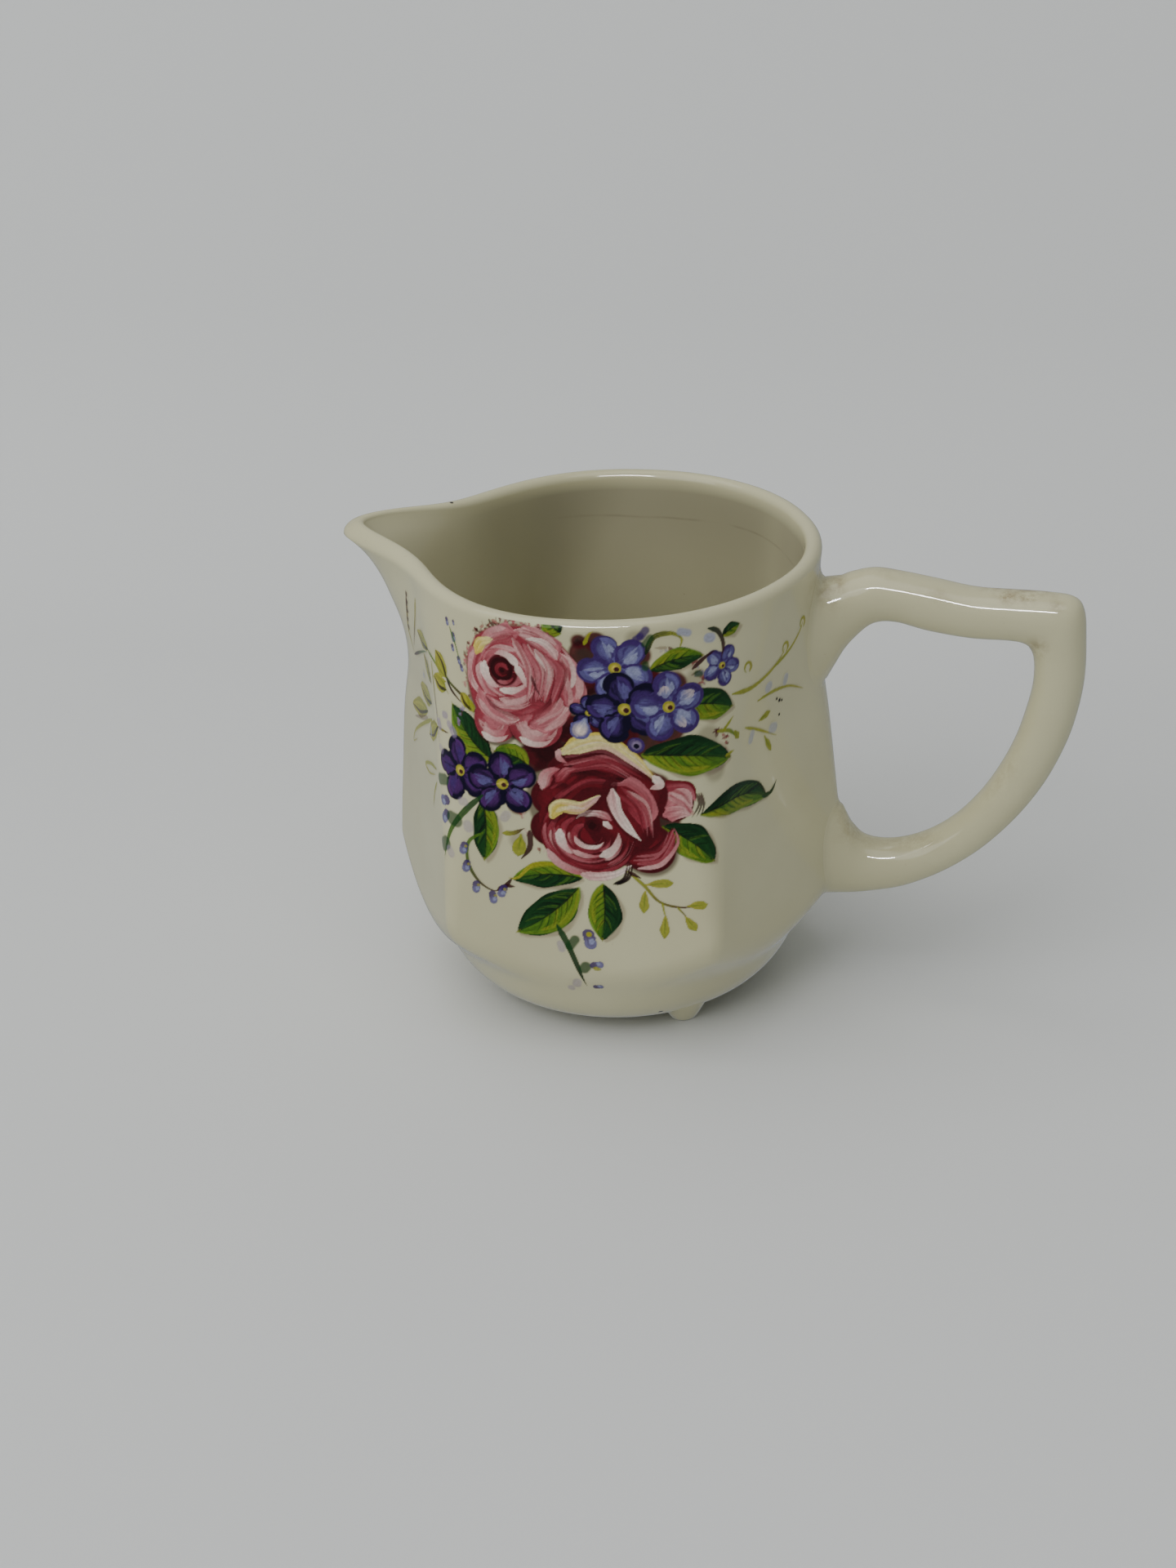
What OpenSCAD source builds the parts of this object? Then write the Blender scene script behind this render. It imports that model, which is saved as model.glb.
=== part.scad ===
// Cream jug: a six-sided cast body with a round rim and a drawn-out spout, a D handle,
// three small feet and thin printed flower transfers fired onto the glaze.
// The jug stands on z = 0 with the spout towards -X and the handle towards +X.

/* [Body] */
// Height of the rim above the table
rim_height = 98.5; // [90:0.5:110]
// Outside diameter of the round rim
rim_d = 87; // [80:0.5:95]
// Height of the belly, where the six corners reach furthest out
belly_height = 24; // [20:0.5:28]
// Distance from the axis to the corners under the spout and the handle
corner_reach = 49; // [46:0.5:52]
// Distance from the axis to the flat front and back panels at the belly
panel_reach = 41.6; // [39:0.1:44]
// Tilt of the four side panels away from the spout and handle line, in degrees
side_tilt = 27; // [24:0.5:30]
// Width of the rounding along the lower edge of the panels
belly_blend = 2; // [1:0.1:4]

/* [Wall] */
// Thickness of the wall and of the rounded lip
wall = 3.5; // [3:0.1:4.5]
// Extra thickness of the lip at the tip of the spout
tip_extra = 1.2; // [0.5:0.1:2]
// Smallest rounding of the inside corners, left by the casting slip
inner_round = 8; // [6:0.5:12]
// Thickness of the floor
floor_t = 4.5; // [4:0.1:6]

/* [Spout] */
// How far the tip of the spout stands out from the rim
spout_length = 15; // [10:0.5:18]
// Width of the spout, as an angle about the axis
spout_width = 14; // [11:0.5:18]
// How far the rim is drawn in on each side of the spout
spout_pinch = 2.4; // [1:0.1:3]
// Depth over which the keel of the spout runs back into the body
spout_depth = 10; // [8:0.5:14]
// How far the inner edge of the tip rises above the rim
tip_rise = 3.2; // [1:0.1:4]

/* [Feet] */
// Height of the feet below the flat underside
foot_height = 2.2; // [2:0.1:3]
// Diameter of a foot where it stands on the table
foot_d = 5.6; // [5:0.1:8]
// Distance from the axis to the middle of a foot
foot_reach = 28.6; // [26:0.2:30]
// Angle from the handle line to the two feet on the handle side, in degrees
foot_angle = 53; // [40:1:60]

/* [Transfers] */
// Thickness of the printed and fired transfer film
film_t = 0.12; // [0.1:0.01:0.3]

/* [Hidden] */

ivory = "#e9e5d3";
rim_r = rim_d / 2;
lip_r = wall / 2;
lip_z = rim_height - lip_r;
drop = rim_height - belly_height;

// The handle's furthest point and the spout's tip, measured from the body's axis.
handle_reach = 96.6;
spout_reach = rim_r - spout_pinch + spout_length;
// The origin is under the middle of the whole jug, so the body's axis stands off it.
axis_x = (spout_reach - handle_reach) / 2;

// Wall stations from the rim down: share of the drop to the belly, distance to the front panel,
// reach of the spout and handle corners, and rounding of the corners. The rim is a full circle.
wall_stations = [
    [0, rim_r, rim_r, rim_r],
    [0.08, rim_r - 0.9, rim_r - 0.4, 0.87 * rim_r],
    [0.35, panel_reach - 0.7, corner_reach - 5.1, 21],
    [0.51, panel_reach - 0.9, corner_reach - 3.6, 13],
    [0.70, panel_reach - 0.7, corner_reach - 2.1, 7],
    [0.83, panel_reach - 0.4, corner_reach - 1.1, 5],
    [1, panel_reach, corner_reach, 3],
    [1.34, panel_reach + 0.7, corner_reach + 2, 3]
];

// The underside is turned: height above the table and radius.
bowl_stations = [
    [foot_height, 27],
    [foot_height + 1.2, 31.5],
    [foot_height + 5.5, 36],
    [foot_height + 13.5, 40.4],
    [foot_height + 24, 49.8],
    [foot_height + 38, 60]
];

// Handle ribs: the outer and inner edge as [x from the axis, depth below the rim], half the
// width, and in order from the upper root, round the corner, down to the lower root.
handle_ribs = [
    [[45.5, 7.0], [45.5, 28.0], 8.0],
    [[47.3, 6.3], [47.8, 22.6], 6.6],
    [[49.6, 5.3], [50.6, 18.7], 5.8],
    [[54.0, 4.3], [54.2, 15.5], 5.4],
    [[59.0, 4.8], [58.7, 15.0], 5.2],
    [[66.4, 6.1], [65.2, 16.6], 5.2],
    [[74.2, 7.6], [73.6, 17.8], 5.2],
    [[82.0, 7.9], [81.5, 18.0], 5.2],
    [[88.5, 8.1], [84.3, 18.6], 5.2],
    [[93.6, 8.8], [85.5, 19.8], 5.2],
    [[95.7, 11.2], [86.2, 21.6], 5.2],
    [[96.4, 16.5], [86.5, 24.5], 5.1],
    [[96.6, 26.0], [86.3, 28.5], 5.1],
    [[95.2, 35.4], [85.3, 33.6], 5.1],
    [[92.7, 43.4], [83.5, 40.1], 5.0],
    [[89.1, 51.1], [80.7, 46.7], 4.9],
    [[84.1, 58.6], [76.8, 53.4], 4.8],
    [[77.5, 65.9], [71.6, 59.5], 4.8],
    [[69.9, 71.7], [65.5, 63.8], 4.9],
    [[61.6, 75.8], [58.9, 66.0], 5.2],
    [[54.0, 77.7], [53.2, 65.5], 5.5],
    [[50.0, 78.4], [50.0, 62.3], 5.8],
    [[47.5, 78.8], [47.5, 58.5], 6.2]
];
// How square the handle's section is: 2 is an ellipse.
handle_square = 2.2;
rib_steps = 2;
rib_points = 24;
root_rings = 3;

// Across its width the keel of the spout falls away with this power of the angle, and this small
// angle, in degrees, rounds its edge.
keel_power = 1.6;
keel_round = 2;
// Angles from the spout over which the rim rises and is drawn in, and how sharply the latter ends.
rise_spread = 22;
pinch_spread = 58;
pinch_power = 6;
// Depth over which the drawing-in of the rim dies away.
pinch_depth = 20;
// Depths below the rim at which the keel, the drawing-in and the rise have gone altogether, and
// the heights over which the first two come in.
keel_end = 30;
keel_fade = 18;
pinch_end = 45;
pinch_fade = 25;
rise_end = 14;

// How much higher the bowl lies inside than outside, and how softly it meets the panels there.
inner_bowl_rise = floor_t - 1.3;
inner_blend = 2 * belly_blend;

// How much wider a foot is at its top, and how far up it is drawn before the underside cuts it.
foot_flare = 7;
foot_top = 3 * foot_height;

// Angles about the axis at which the six corners stand: the front corners follow from the panels.
front_corner_x = corner_reach - panel_reach * tan(side_tilt);
front_corner = atan2(panel_reach, front_corner_x);
sector_ends = [0, front_corner, 180 - front_corner, 180, 180 + front_corner, 360 - front_corner, 360];
sector_steps = 16;
// How far the columns of the body crowd together at its corners, and its rings at its underside.
corner_crowding = 0.12;
bowl_crowding = 1.6;
bowl_steps = 11;
wall_steps = 16;
lip_steps = 6;
inner_steps = 14;
inner_bowl_steps = 8;

// First and last column, then first and last row, of the outside that each transfer covers.
bouquet_range = [62, 82, 1, 19];
spout_side_range = [54, 61, 2, 9];
handle_side_range = [83, 90, 1, 8];
back_spray_range = [20, 28, 3, 11];

function lerp(a, b, t) = a + (b - a) * t;
function clamp01(t) = min(max(t, 0), 1);
function smooth(t) = let (u = clamp01(t)) u * u * (3 - 2 * u);

// Smooth curve through a table of stations: the value of column c at x.
function station(t, x, i = 0) = i >= len(t) - 2 || x <= t[i + 1][0] ? i : station(t, x, i + 1);
function station_slope(t, i, c) =
    let (a = max(i - 1, 0), b = min(i + 1, len(t) - 1))
    (t[b][c] - t[a][c]) / (t[b][0] - t[a][0]);
function curve(t, x, c) =
    let (
        i = station(t, x),
        w = t[i + 1][0] - t[i][0],
        u = (x - t[i][0]) / w,
        m0 = w * station_slope(t, i, c),
        m1 = w * station_slope(t, i + 1, c)
    )
    (1 + 2 * u) * (1 - u) * (1 - u) * t[i][c] + u * (1 - u) * (1 - u) * m0
        + u * u * (3 - 2 * u) * t[i + 1][c] - u * u * (1 - u) * m1;

// The smaller of two radii, blended over a width k where they cross.
function blend_min(a, b, k) =
    let (h = clamp01(0.5 + 0.5 * (b - a) / k))
    lerp(b, a, h) - k * h * (1 - h);

// Radius of an arc of radius rho about the point v, seen from the axis at angle q.
function arc_r(q, v, rho) =
    let (b = v.x * cos(q) + v.y * sin(q))
    b + sqrt(max(0, rho * rho - v * v + b * b));

// Radius of the rounded six-sided section at angle phi: front is the distance to the front
// panel, side the distance to the side panels, and rho the rounding of the corners.
function section_r(phi, front, side, rho) =
    let (
        turn = phi - 180 * floor(phi / 180),
        q = turn > 90 ? 180 - turn : turn,
        y1 = front - rho,
        x1 = (side - rho - sin(side_tilt) * y1) / cos(side_tilt),
        x0 = (side - rho) / cos(side_tilt),
        s = side * tan(q - side_tilt),
        s0 = -(side - rho) * tan(side_tilt),
        s1 = cos(side_tilt) * y1 - sin(side_tilt) * x1
    )
    front * cos(q) <= x1 * sin(q) ? front / sin(q)
        : s < s0 ? arc_r(q, [x0, 0], rho)
        : s > s1 ? arc_r(q, [x1, y1], rho)
        : side / cos(q - side_tilt);

function bowl_r(z) = curve(bowl_stations, max(z, foot_height), 1);

// Angle from the spout, 0 at its tip, and the shape of the spout across that angle.
function off_spout(phi) = abs(phi - 360 * floor(phi / 360) - 180);
function beak(phi) =
    exp(pow(keel_round / spout_width, keel_power)
        - pow(norm([off_spout(phi), keel_round]) / spout_width, keel_power));
function tip(phi) = exp(-pow(off_spout(phi) / rise_spread, 2));

// What the spout adds to the radius of the body, and what is drawn in beside it.
function spout_add(phi, z) =
    let (
        depth = min(z - lip_z, 0),
        keel = spout_length * beak(phi) * exp(depth / spout_depth)
            * smooth((z - rim_height + keel_end) / keel_fade),
        draw = spout_pinch / (1 + pow(off_spout(phi) / pinch_spread, pinch_power))
            * exp(depth / pinch_depth) * smooth((z - rim_height + pinch_end) / pinch_fade)
    )
    keel - draw;

function body_r(phi, z) =
    let (
        d = (rim_height - z) / drop,
        rho = curve(wall_stations, d, 3),
        side = (curve(wall_stations, d, 2) - rho) * cos(side_tilt) + rho
    )
    blend_min(section_r(phi, curve(wall_stations, d, 1), side, rho), bowl_r(z), belly_blend)
        + spout_add(phi, z);

function inner_r(phi, z) =
    let (
        d = (rim_height - z) / drop,
        rho = curve(wall_stations, d, 3),
        side = (curve(wall_stations, d, 2) - rho) * cos(side_tilt) + rho,
        round_in = max(rho - wall, inner_round),
        panel = section_r(phi, curve(wall_stations, d, 1) - wall, side - wall, round_in)
    )
    blend_min(panel, bowl_r(z - inner_bowl_rise) - wall, inner_blend)
        + spout_add(phi, z) - tip_extra * tip(phi);

// The rim rises towards the tip of the spout, more on its inner edge than on its outer edge.
function lift(phi, z, amount) =
    amount * tip(phi) * smooth((z - rim_height + rise_end) / (rise_end - lip_r));
outer_rise = 0.45 * tip_rise;

function ring_point(r, phi, z) = [r * cos(phi), r * sin(phi), z];
function outer_point(phi, z) = ring_point(body_r(phi, z), phi, z + lift(phi, z, outer_rise));
function inner_point(phi, z) = ring_point(inner_r(phi, z), phi, z + lift(phi, z, tip_rise));
function lip_point(phi, a) =
    let (ro = body_r(phi, lip_z), ri = inner_r(phi, lip_z), t = (1 - cos(a)) / 2)
    ring_point(lerp(ro, ri, t), phi, lip_z + lip_r * sin(a) + tip(phi) * lerp(outer_rise, tip_rise, t));

// Angles round the body, closer together at the six corners.
sector_angles = [
    for (s = [0 : 5], i = [0 : sector_steps - 1])
        let (u = i / sector_steps)
        lerp(sector_ends[s], sector_ends[s + 1], u - corner_crowding * sin(360 * u))
];

// Heights of the rings: up the inside from the floor, and down the outside to the underside.
floor_z = foot_height + floor_t;
inner_bowl_levels = [
    for (i = [0 : inner_bowl_steps - 1])
        lerp(floor_z, belly_height, pow(i / inner_bowl_steps, bowl_crowding))
];
inner_wall_levels = [
    for (i = [0 : inner_steps - 1]) lerp(belly_height, lip_z, (1 - cos(180 * i / inner_steps)) / 2)
];
wall_levels = [
    for (i = [1 : wall_steps]) lerp(lip_z, belly_height, (1 - cos(180 * i / wall_steps)) / 2)
];
bowl_levels = [
    for (i = [1 : bowl_steps])
        lerp(foot_height, belly_height, pow(1 - i / bowl_steps, bowl_crowding))
];
outer_levels = concat(wall_levels, bowl_levels);

// A closed tube through rings of points, each ring with the same even number. Each end is
// closed by a strip of quads zipped across it. Seen from the first ring, the points run clockwise.
module tube(rings) {
    n = len(rings[0]);
    top = (len(rings) - 1) * n * [1, 1, 1];
    sides = [
        for (i = [0 : len(rings) - 2], j = [0 : n - 1])
            let (a = i * n + j, b = i * n + (j + 1) % n)
            each [[a, b, b + n], [a, b + n, a + n]]
    ];
    zips = [for (j = [0 : n / 2 - 2]) [j, j + 1, n - 2 - j, n - 1 - j]];
    first_cap = [for (z = zips) each [[z[0], z[2], z[1]], [z[0], z[3], z[2]]]];
    last_cap = [for (z = zips) each [[z[0], z[1], z[2]] + top, [z[0], z[2], z[3]] + top]];
    polyhedron([for (ring = rings) each ring], concat(first_cap, sides, last_cap));
}

// The cast body, from the floor up the inside, over the lip and down the outside to the underside.
module jug_body() {
    inside = [
        for (z = concat(inner_bowl_levels, inner_wall_levels))
            [for (phi = sector_angles) inner_point(phi, z)]
    ];
    lip = [
        for (i = [0 : lip_steps])
            [for (phi = sector_angles) lip_point(phi, 180 * (1 - i / lip_steps))]
    ];
    outside = [for (z = outer_levels) [for (phi = sector_angles) outer_point(phi, z)]];
    color(ivory)
        translate([axis_x, 0, 0])
        tube(concat(inside, lip, outside));
}

// The point on the outside of the body beside the handle, at a given y and z.
function wall_x(y, z, x = rim_r, steps = 6) =
    steps == 0 ? x : wall_x(y, z, sqrt(pow(body_r(atan2(y, x), z), 2) - y * y), steps - 1);
function on_wall(p) = [wall_x(p.y, p.z), p.y, p.z];

function signed_pow(v, k) = sign(v) * pow(abs(v), k);
function rib_ring(rib) = [
    for (i = [0 : rib_points - 1])
        let (
            v = 360 * i / rib_points,
            along = signed_pow(cos(v), 2 / handle_square),
            across = signed_pow(sin(v), 2 / handle_square),
            edge = lerp(rib[1], rib[0], (1 + along) / 2)
        )
        [edge.x, rib[2] * across, rim_height - edge.y]
];
// Smooth curve through four neighbouring ribs.
function rib_blend(p0, p1, p2, p3, t) =
    p1 + t / 2 * (p2 - p0 + t * (2 * p0 - 5 * p1 + 4 * p2 - p3 + t * (3 * p1 - p0 - 3 * p2 + p3)));
function rib_at(i, t) =
    let (
        n = len(handle_ribs) - 1,
        a = handle_ribs[max(i - 1, 0)],
        b = handle_ribs[i],
        c = handle_ribs[min(i + 1, n)],
        d = handle_ribs[min(i + 2, n)]
    )
    [for (k = [0 : 2]) rib_blend(a[k], b[k], c[k], d[k], t)];
// A ring of the root, shrunk towards its middle and laid on the wall of the body.
function root_ring(rib, share) =
    let (mid = (rib[0] + rib[1]) / 2, centre = [mid.x, 0, rim_height - mid.y])
    [for (p = rib_ring(rib)) on_wall(lerp(centre, p, share))];

// The cast handle: its roots are shaped to sit on the wall of the body.
module handle() {
    last = len(handle_ribs) - 1;
    rings = concat(
        [for (k = [1 : root_rings]) root_ring(handle_ribs[0], k / root_rings)],
        [for (i = [1 : last - 1], k = [0 : rib_steps - 1]) rib_ring(rib_at(i, k / rib_steps))],
        [for (k = [root_rings : -1 : 1]) root_ring(handle_ribs[last], k / root_rings)]
    );
    color(ivory)
        translate([axis_x, 0, 0])
        tube(rings);
}

// The turned underside of the body, as a solid that the feet are cut against.
module underside() {
    foot_levels = [for (z = outer_levels) if (z < 2 * foot_top) z];
    profile = concat([for (z = foot_levels) [bowl_r(z), z]], [[0, foot_height], [0, foot_levels[0]]]);
    rotate_extrude($fn = 96) polygon(profile);
}

// A small flat-bottomed foot that widens upwards, stuck on under the body at an angle from the handle line.
module foot(angle) {
    color(ivory)
        translate([axis_x, 0, 0])
        difference() {
            translate([foot_reach * cos(angle), foot_reach * sin(angle), 0])
                cylinder(h = foot_top, d1 = foot_d, d2 = foot_d + foot_flare, $fn = 48);
            underside();
        }
}
module foot_front() { foot(-foot_angle); }
module foot_back() { foot(foot_angle); }
module foot_spout() { foot(180); }

// A thin film on the outside of the body, over a range of its columns and rows, so that it lies
// on the glaze all over.
module transfer(range) {
    function film_point(i, j, t) =
        let (phi = sector_angles[j], z = outer_levels[i])
        ring_point(body_r(phi, z) + t, phi, z + lift(phi, z, outer_rise));
    rings = [
        for (i = [range[2] : range[3]])
            concat(
                [for (j = [range[1] : -1 : range[0]]) film_point(i, j, 0)],
                [for (j = [range[0] : range[1]]) film_point(i, j, film_t)]
            )
    ];
    translate([axis_x, 0, 0])
        tube(rings);
}

// The big bouquet on the front panel, with its sprays running over the front corners.
module front_bouquet_transfer() { color("#a8485c") transfer(bouquet_range); }
// The yellow-green spray on the panel between the bouquet and the spout.
module spout_side_transfer() { color("#b5b84e") transfer(spout_side_range); }
// The fine tendrils on the panel between the bouquet and the handle.
module handle_side_transfer() { color("#8fae4a") transfer(handle_side_range); }
// A small spray on the middle of the back panel.
module back_spray_transfer() { color("#c9748a") transfer(back_spray_range); }

jug_body();
handle();
foot_front();
foot_back();
foot_spout();
front_bouquet_transfer();
spout_side_transfer();
handle_side_transfer();
back_spray_transfer();
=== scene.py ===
"""Cream jug: the glazed body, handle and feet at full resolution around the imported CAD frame,
the flower prints as layers of brush strokes on the glaze, and a plain pale studio."""
import math

import bpy
import numpy as np
from mathutils import Matrix, Vector


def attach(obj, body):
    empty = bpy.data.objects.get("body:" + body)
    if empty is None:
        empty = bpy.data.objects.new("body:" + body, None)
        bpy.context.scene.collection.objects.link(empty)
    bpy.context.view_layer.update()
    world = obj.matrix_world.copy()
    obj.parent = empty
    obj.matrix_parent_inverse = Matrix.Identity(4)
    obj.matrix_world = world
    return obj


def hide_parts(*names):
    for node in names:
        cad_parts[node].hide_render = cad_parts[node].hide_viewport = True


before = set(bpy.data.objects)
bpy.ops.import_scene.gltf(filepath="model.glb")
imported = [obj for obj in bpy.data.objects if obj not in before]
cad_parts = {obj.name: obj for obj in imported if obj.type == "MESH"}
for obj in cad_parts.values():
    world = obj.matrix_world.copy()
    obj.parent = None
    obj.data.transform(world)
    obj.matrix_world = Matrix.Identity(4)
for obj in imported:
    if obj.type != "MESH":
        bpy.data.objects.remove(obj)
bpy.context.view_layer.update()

MM = 0.001

# ---------------------------------------------------------------- dimensions, in millimetres
# These repeat the driving dimensions of the CAD model, except BELLY_BLEND, which is wider here
# because the jug's lower ridge is soft. Heights are above the table, and distances are from the
# body's own upright axis.
RIM_HEIGHT = 98.5
RIM_R = 43.5
BELLY_HEIGHT = 24.0
CORNER_REACH = 49.0
PANEL_REACH = 41.6
SIDE_TILT = math.radians(27)
BELLY_BLEND = 4.0
INNER_BLEND = 2 * BELLY_BLEND
WALL = 3.5
TIP_EXTRA = 1.2
INNER_ROUND = 8.0
FLOOR_T = 4.5
INNER_BOWL_RISE = FLOOR_T - 1.3
SPOUT_LENGTH = 15.0
SPOUT_WIDTH = 14.0
SPOUT_PINCH = 2.4
SPOUT_DEPTH = 10.0
TIP_RISE = 3.2
OUTER_RISE = 0.45 * TIP_RISE
# The spout's keel: how it narrows, and how far below the rim it starts to fade and ends.
KEEL_POWER = 1.6
KEEL_ROUND = 2.0
KEEL_END = 30.0
KEEL_FADE = 18.0
# The draw-in beside the spout, the spread of the tip's rise in degrees, and where the rise ends.
PINCH_SPREAD = 58.0
PINCH_POWER = 6
PINCH_DEPTH = 20.0
PINCH_END = 45.0
PINCH_FADE = 25.0
RISE_SPREAD = 22.0
RISE_END = 14.0
FOOT_HEIGHT = 2.2
FOOT_R = 2.8
FOOT_FLARE = 3.5
FOOT_TOP = 3 * FOOT_HEIGHT
FOOT_REACH = 28.6
FOOT_ANGLES = {"foot_front": -53, "foot_back": 53, "foot_spout": 180}
HANDLE_REACH = 96.6
HANDLE_SQUARE = 2.2
LIP_R = WALL / 2
LIP_Z = RIM_HEIGHT - LIP_R
DROP = RIM_HEIGHT - BELLY_HEIGHT
AXIS_X = (RIM_R - SPOUT_PINCH + SPOUT_LENGTH - HANDLE_REACH) / 2
# How many points go round and up each form, and how far they crowd to corners, floor and table.
SECTOR_COLUMNS = 72
INSIDE_RINGS = 52
LIP_RINGS = 14
OUTSIDE_RINGS = 148
HANDLE_COLUMNS = 72
HANDLE_RINGS = 190
FOOT_COLUMNS = 48
CORNER_CROWDING = 0.12
INSIDE_CROWDING = 1.25
OUTSIDE_CROWDING = 1.15
# How far the fired paint stands off the glaze, and the spacing of its points.
PRINT_RISE = 0.03
PRINT_STEP = 0.19
# Distances from the middle of the front panel at which the bouquet passes to its side prints,
# and at which those end. Then the reach of the spray on the back.
SPOUT_EDGE = -33.5
HANDLE_EDGE = 34.8
PRINT_REACH = 60
PRINT_HEIGHTS = (13, 97.9)
BACK_REACH = 16
BACK_HEIGHTS = (58, 95)
# Paint thinner than this isn't laid, and a panel is measured out this far from its middle.
FAINTEST_PAINT = 0.02
UNROLLED_HALF = math.radians(100)
UNROLLED_STEPS = 1600

# Share of the drop from rim to belly, distance to the front panel, reach of the corners and
# rounding of the corners.
WALL_STATIONS = np.array([
    [0, RIM_R, RIM_R, RIM_R],
    [0.08, RIM_R - 0.9, RIM_R - 0.4, 0.87 * RIM_R],
    [0.35, PANEL_REACH - 0.7, CORNER_REACH - 5.1, 21],
    [0.51, PANEL_REACH - 0.9, CORNER_REACH - 3.6, 13],
    [0.70, PANEL_REACH - 0.7, CORNER_REACH - 2.1, 7],
    [0.83, PANEL_REACH - 0.4, CORNER_REACH - 1.1, 5],
    [1, PANEL_REACH, CORNER_REACH, 3],
    [1.34, PANEL_REACH + 0.7, CORNER_REACH + 2, 3],
])
# Height above the table and radius of the turned underside.
BOWL_STATIONS = np.array([
    [FOOT_HEIGHT, 27],
    [FOOT_HEIGHT + 1.2, 31.5],
    [FOOT_HEIGHT + 5.5, 36],
    [FOOT_HEIGHT + 13.5, 40.4],
    [FOOT_HEIGHT + 24, 49.8],
    [FOOT_HEIGHT + 38, 60],
])
# Outer edge and inner edge of the handle as x and depth below the rim, and half its width.
HANDLE_RIBS = np.array([
    [45.5, 7.0, 45.5, 28.0, 8.0],
    [47.3, 6.3, 47.8, 22.6, 6.6],
    [49.6, 5.3, 50.6, 18.7, 5.8],
    [54.0, 4.3, 54.2, 15.5, 5.4],
    [59.0, 4.8, 58.7, 15.0, 5.2],
    [66.4, 6.1, 65.2, 16.6, 5.2],
    [74.2, 7.6, 73.6, 17.8, 5.2],
    [82.0, 7.9, 81.5, 18.0, 5.2],
    [88.5, 8.1, 84.3, 18.6, 5.2],
    [93.6, 8.8, 85.5, 19.8, 5.2],
    [95.7, 11.2, 86.2, 21.6, 5.2],
    [96.4, 16.5, 86.5, 24.5, 5.1],
    [96.6, 26.0, 86.3, 28.5, 5.1],
    [95.2, 35.4, 85.3, 33.6, 5.1],
    [92.7, 43.4, 83.5, 40.1, 5.0],
    [89.1, 51.1, 80.7, 46.7, 4.9],
    [84.1, 58.6, 76.8, 53.4, 4.8],
    [77.5, 65.9, 71.6, 59.5, 4.8],
    [69.9, 71.7, 65.5, 63.8, 4.9],
    [61.6, 75.8, 58.9, 66.0, 5.2],
    [54.0, 77.7, 53.2, 65.5, 5.5],
    [50.0, 78.4, 50.0, 62.3, 5.8],
    [47.5, 78.8, 47.5, 58.5, 6.2],
])
# Places where tea-brown grime has settled: centre in the shared frame, reach along each axis and
# strength.
HANDLE_STAINS = [
    ((60.5, -2.2, 90.6), (2.2, 1.5, 2), 1.0),
    ((64.5, -2.4, 90.6), (1.6, 1.2, 2), 1.0),
    ((70, -3.5, 90.2), (1.2, 1.2, 2), 0.9),
    ((64, 1.4, 90.6), (9, 2.6, 2), 0.75),
    ((47, -4.6, 91.5), (3, 1.6, 2), 0.6),
    ((36, 1.0, 93.5), (5, 3, 2), 0.35),
    ((25.5, -3, 91.5), (2.4, 6, 3.5), 0.95),
    ((66.5, -1, 80.6), (2.2, 6, 2.2), 0.85),
    ((38, -1, 35), (9, 5, 2.4), 0.75),
    ((29.5, -2, 40), (2.5, 5, 4), 0.5),
    ((60, -3, 52), (6, 2, 8), 0.3),
]
BODY_STAINS = [
    ((23.4, -3, 90), (2.6, 6, 4), 0.85),
    ((-75, 0, 98), (3, 3, 4), 0.4),
    ((-64, 0, 84), (3, 4, 7), 0.4),
    ((-20, 0, 2), (26, 26, 1.5), 0.4),
    ((25, 0, 20), (5, 12, 5), 0.3),
]
# Black iron specks in the glaze: place in the shared frame and radius.
SPECKS = [((-57.0, 15.5, 99.3), 0.45), ((-64.4, 11.1, 99.4), 0.25), ((-47.5, -20.6, 97.5), 0.2)]
# Height of a hairline inside the back wall.
HAIRLINE_Z = 88.7


# ---------------------------------------------------------------- shape of the body
def smooth(t):
    """Eases from 0 to 1 while t goes from 0 to 1."""
    t = np.clip(t, 0, 1)
    return t * t * (3 - 2 * t)


def curve(table, x, column):
    """Smooth curve through one column of a table of stations."""
    xs = table[:, 0]
    values = table[:, column]
    slopes = np.empty(len(xs))
    slopes[1:-1] = (values[2:] - values[:-2]) / (xs[2:] - xs[:-2])
    slopes[0] = (values[1] - values[0]) / (xs[1] - xs[0])
    slopes[-1] = (values[-1] - values[-2]) / (xs[-1] - xs[-2])
    i = np.clip(np.searchsorted(xs, x) - 1, 0, len(xs) - 2)
    w = xs[i + 1] - xs[i]
    u = (x - xs[i]) / w
    start = (1 + 2 * u) * (1 - u) ** 2 * values[i] + u * (1 - u) ** 2 * w * slopes[i]
    end = u * u * (3 - 2 * u) * values[i + 1] - u * u * (1 - u) * w * slopes[i + 1]
    return start + end


def blend_min(a, b, width):
    """The smaller of two radii, blended where they cross."""
    h = np.clip(0.5 + 0.5 * (b - a) / width, 0, 1)
    return b + (a - b) * h - width * h * (1 - h)


def arc_radius(q, x, y, rho):
    """Radius at angle q of a corner's arc, of radius rho about the point x, y."""
    b = x * np.cos(q) + y * np.sin(q)
    return b + np.sqrt(np.maximum(0, rho * rho - x * x - y * y + b * b))


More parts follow.
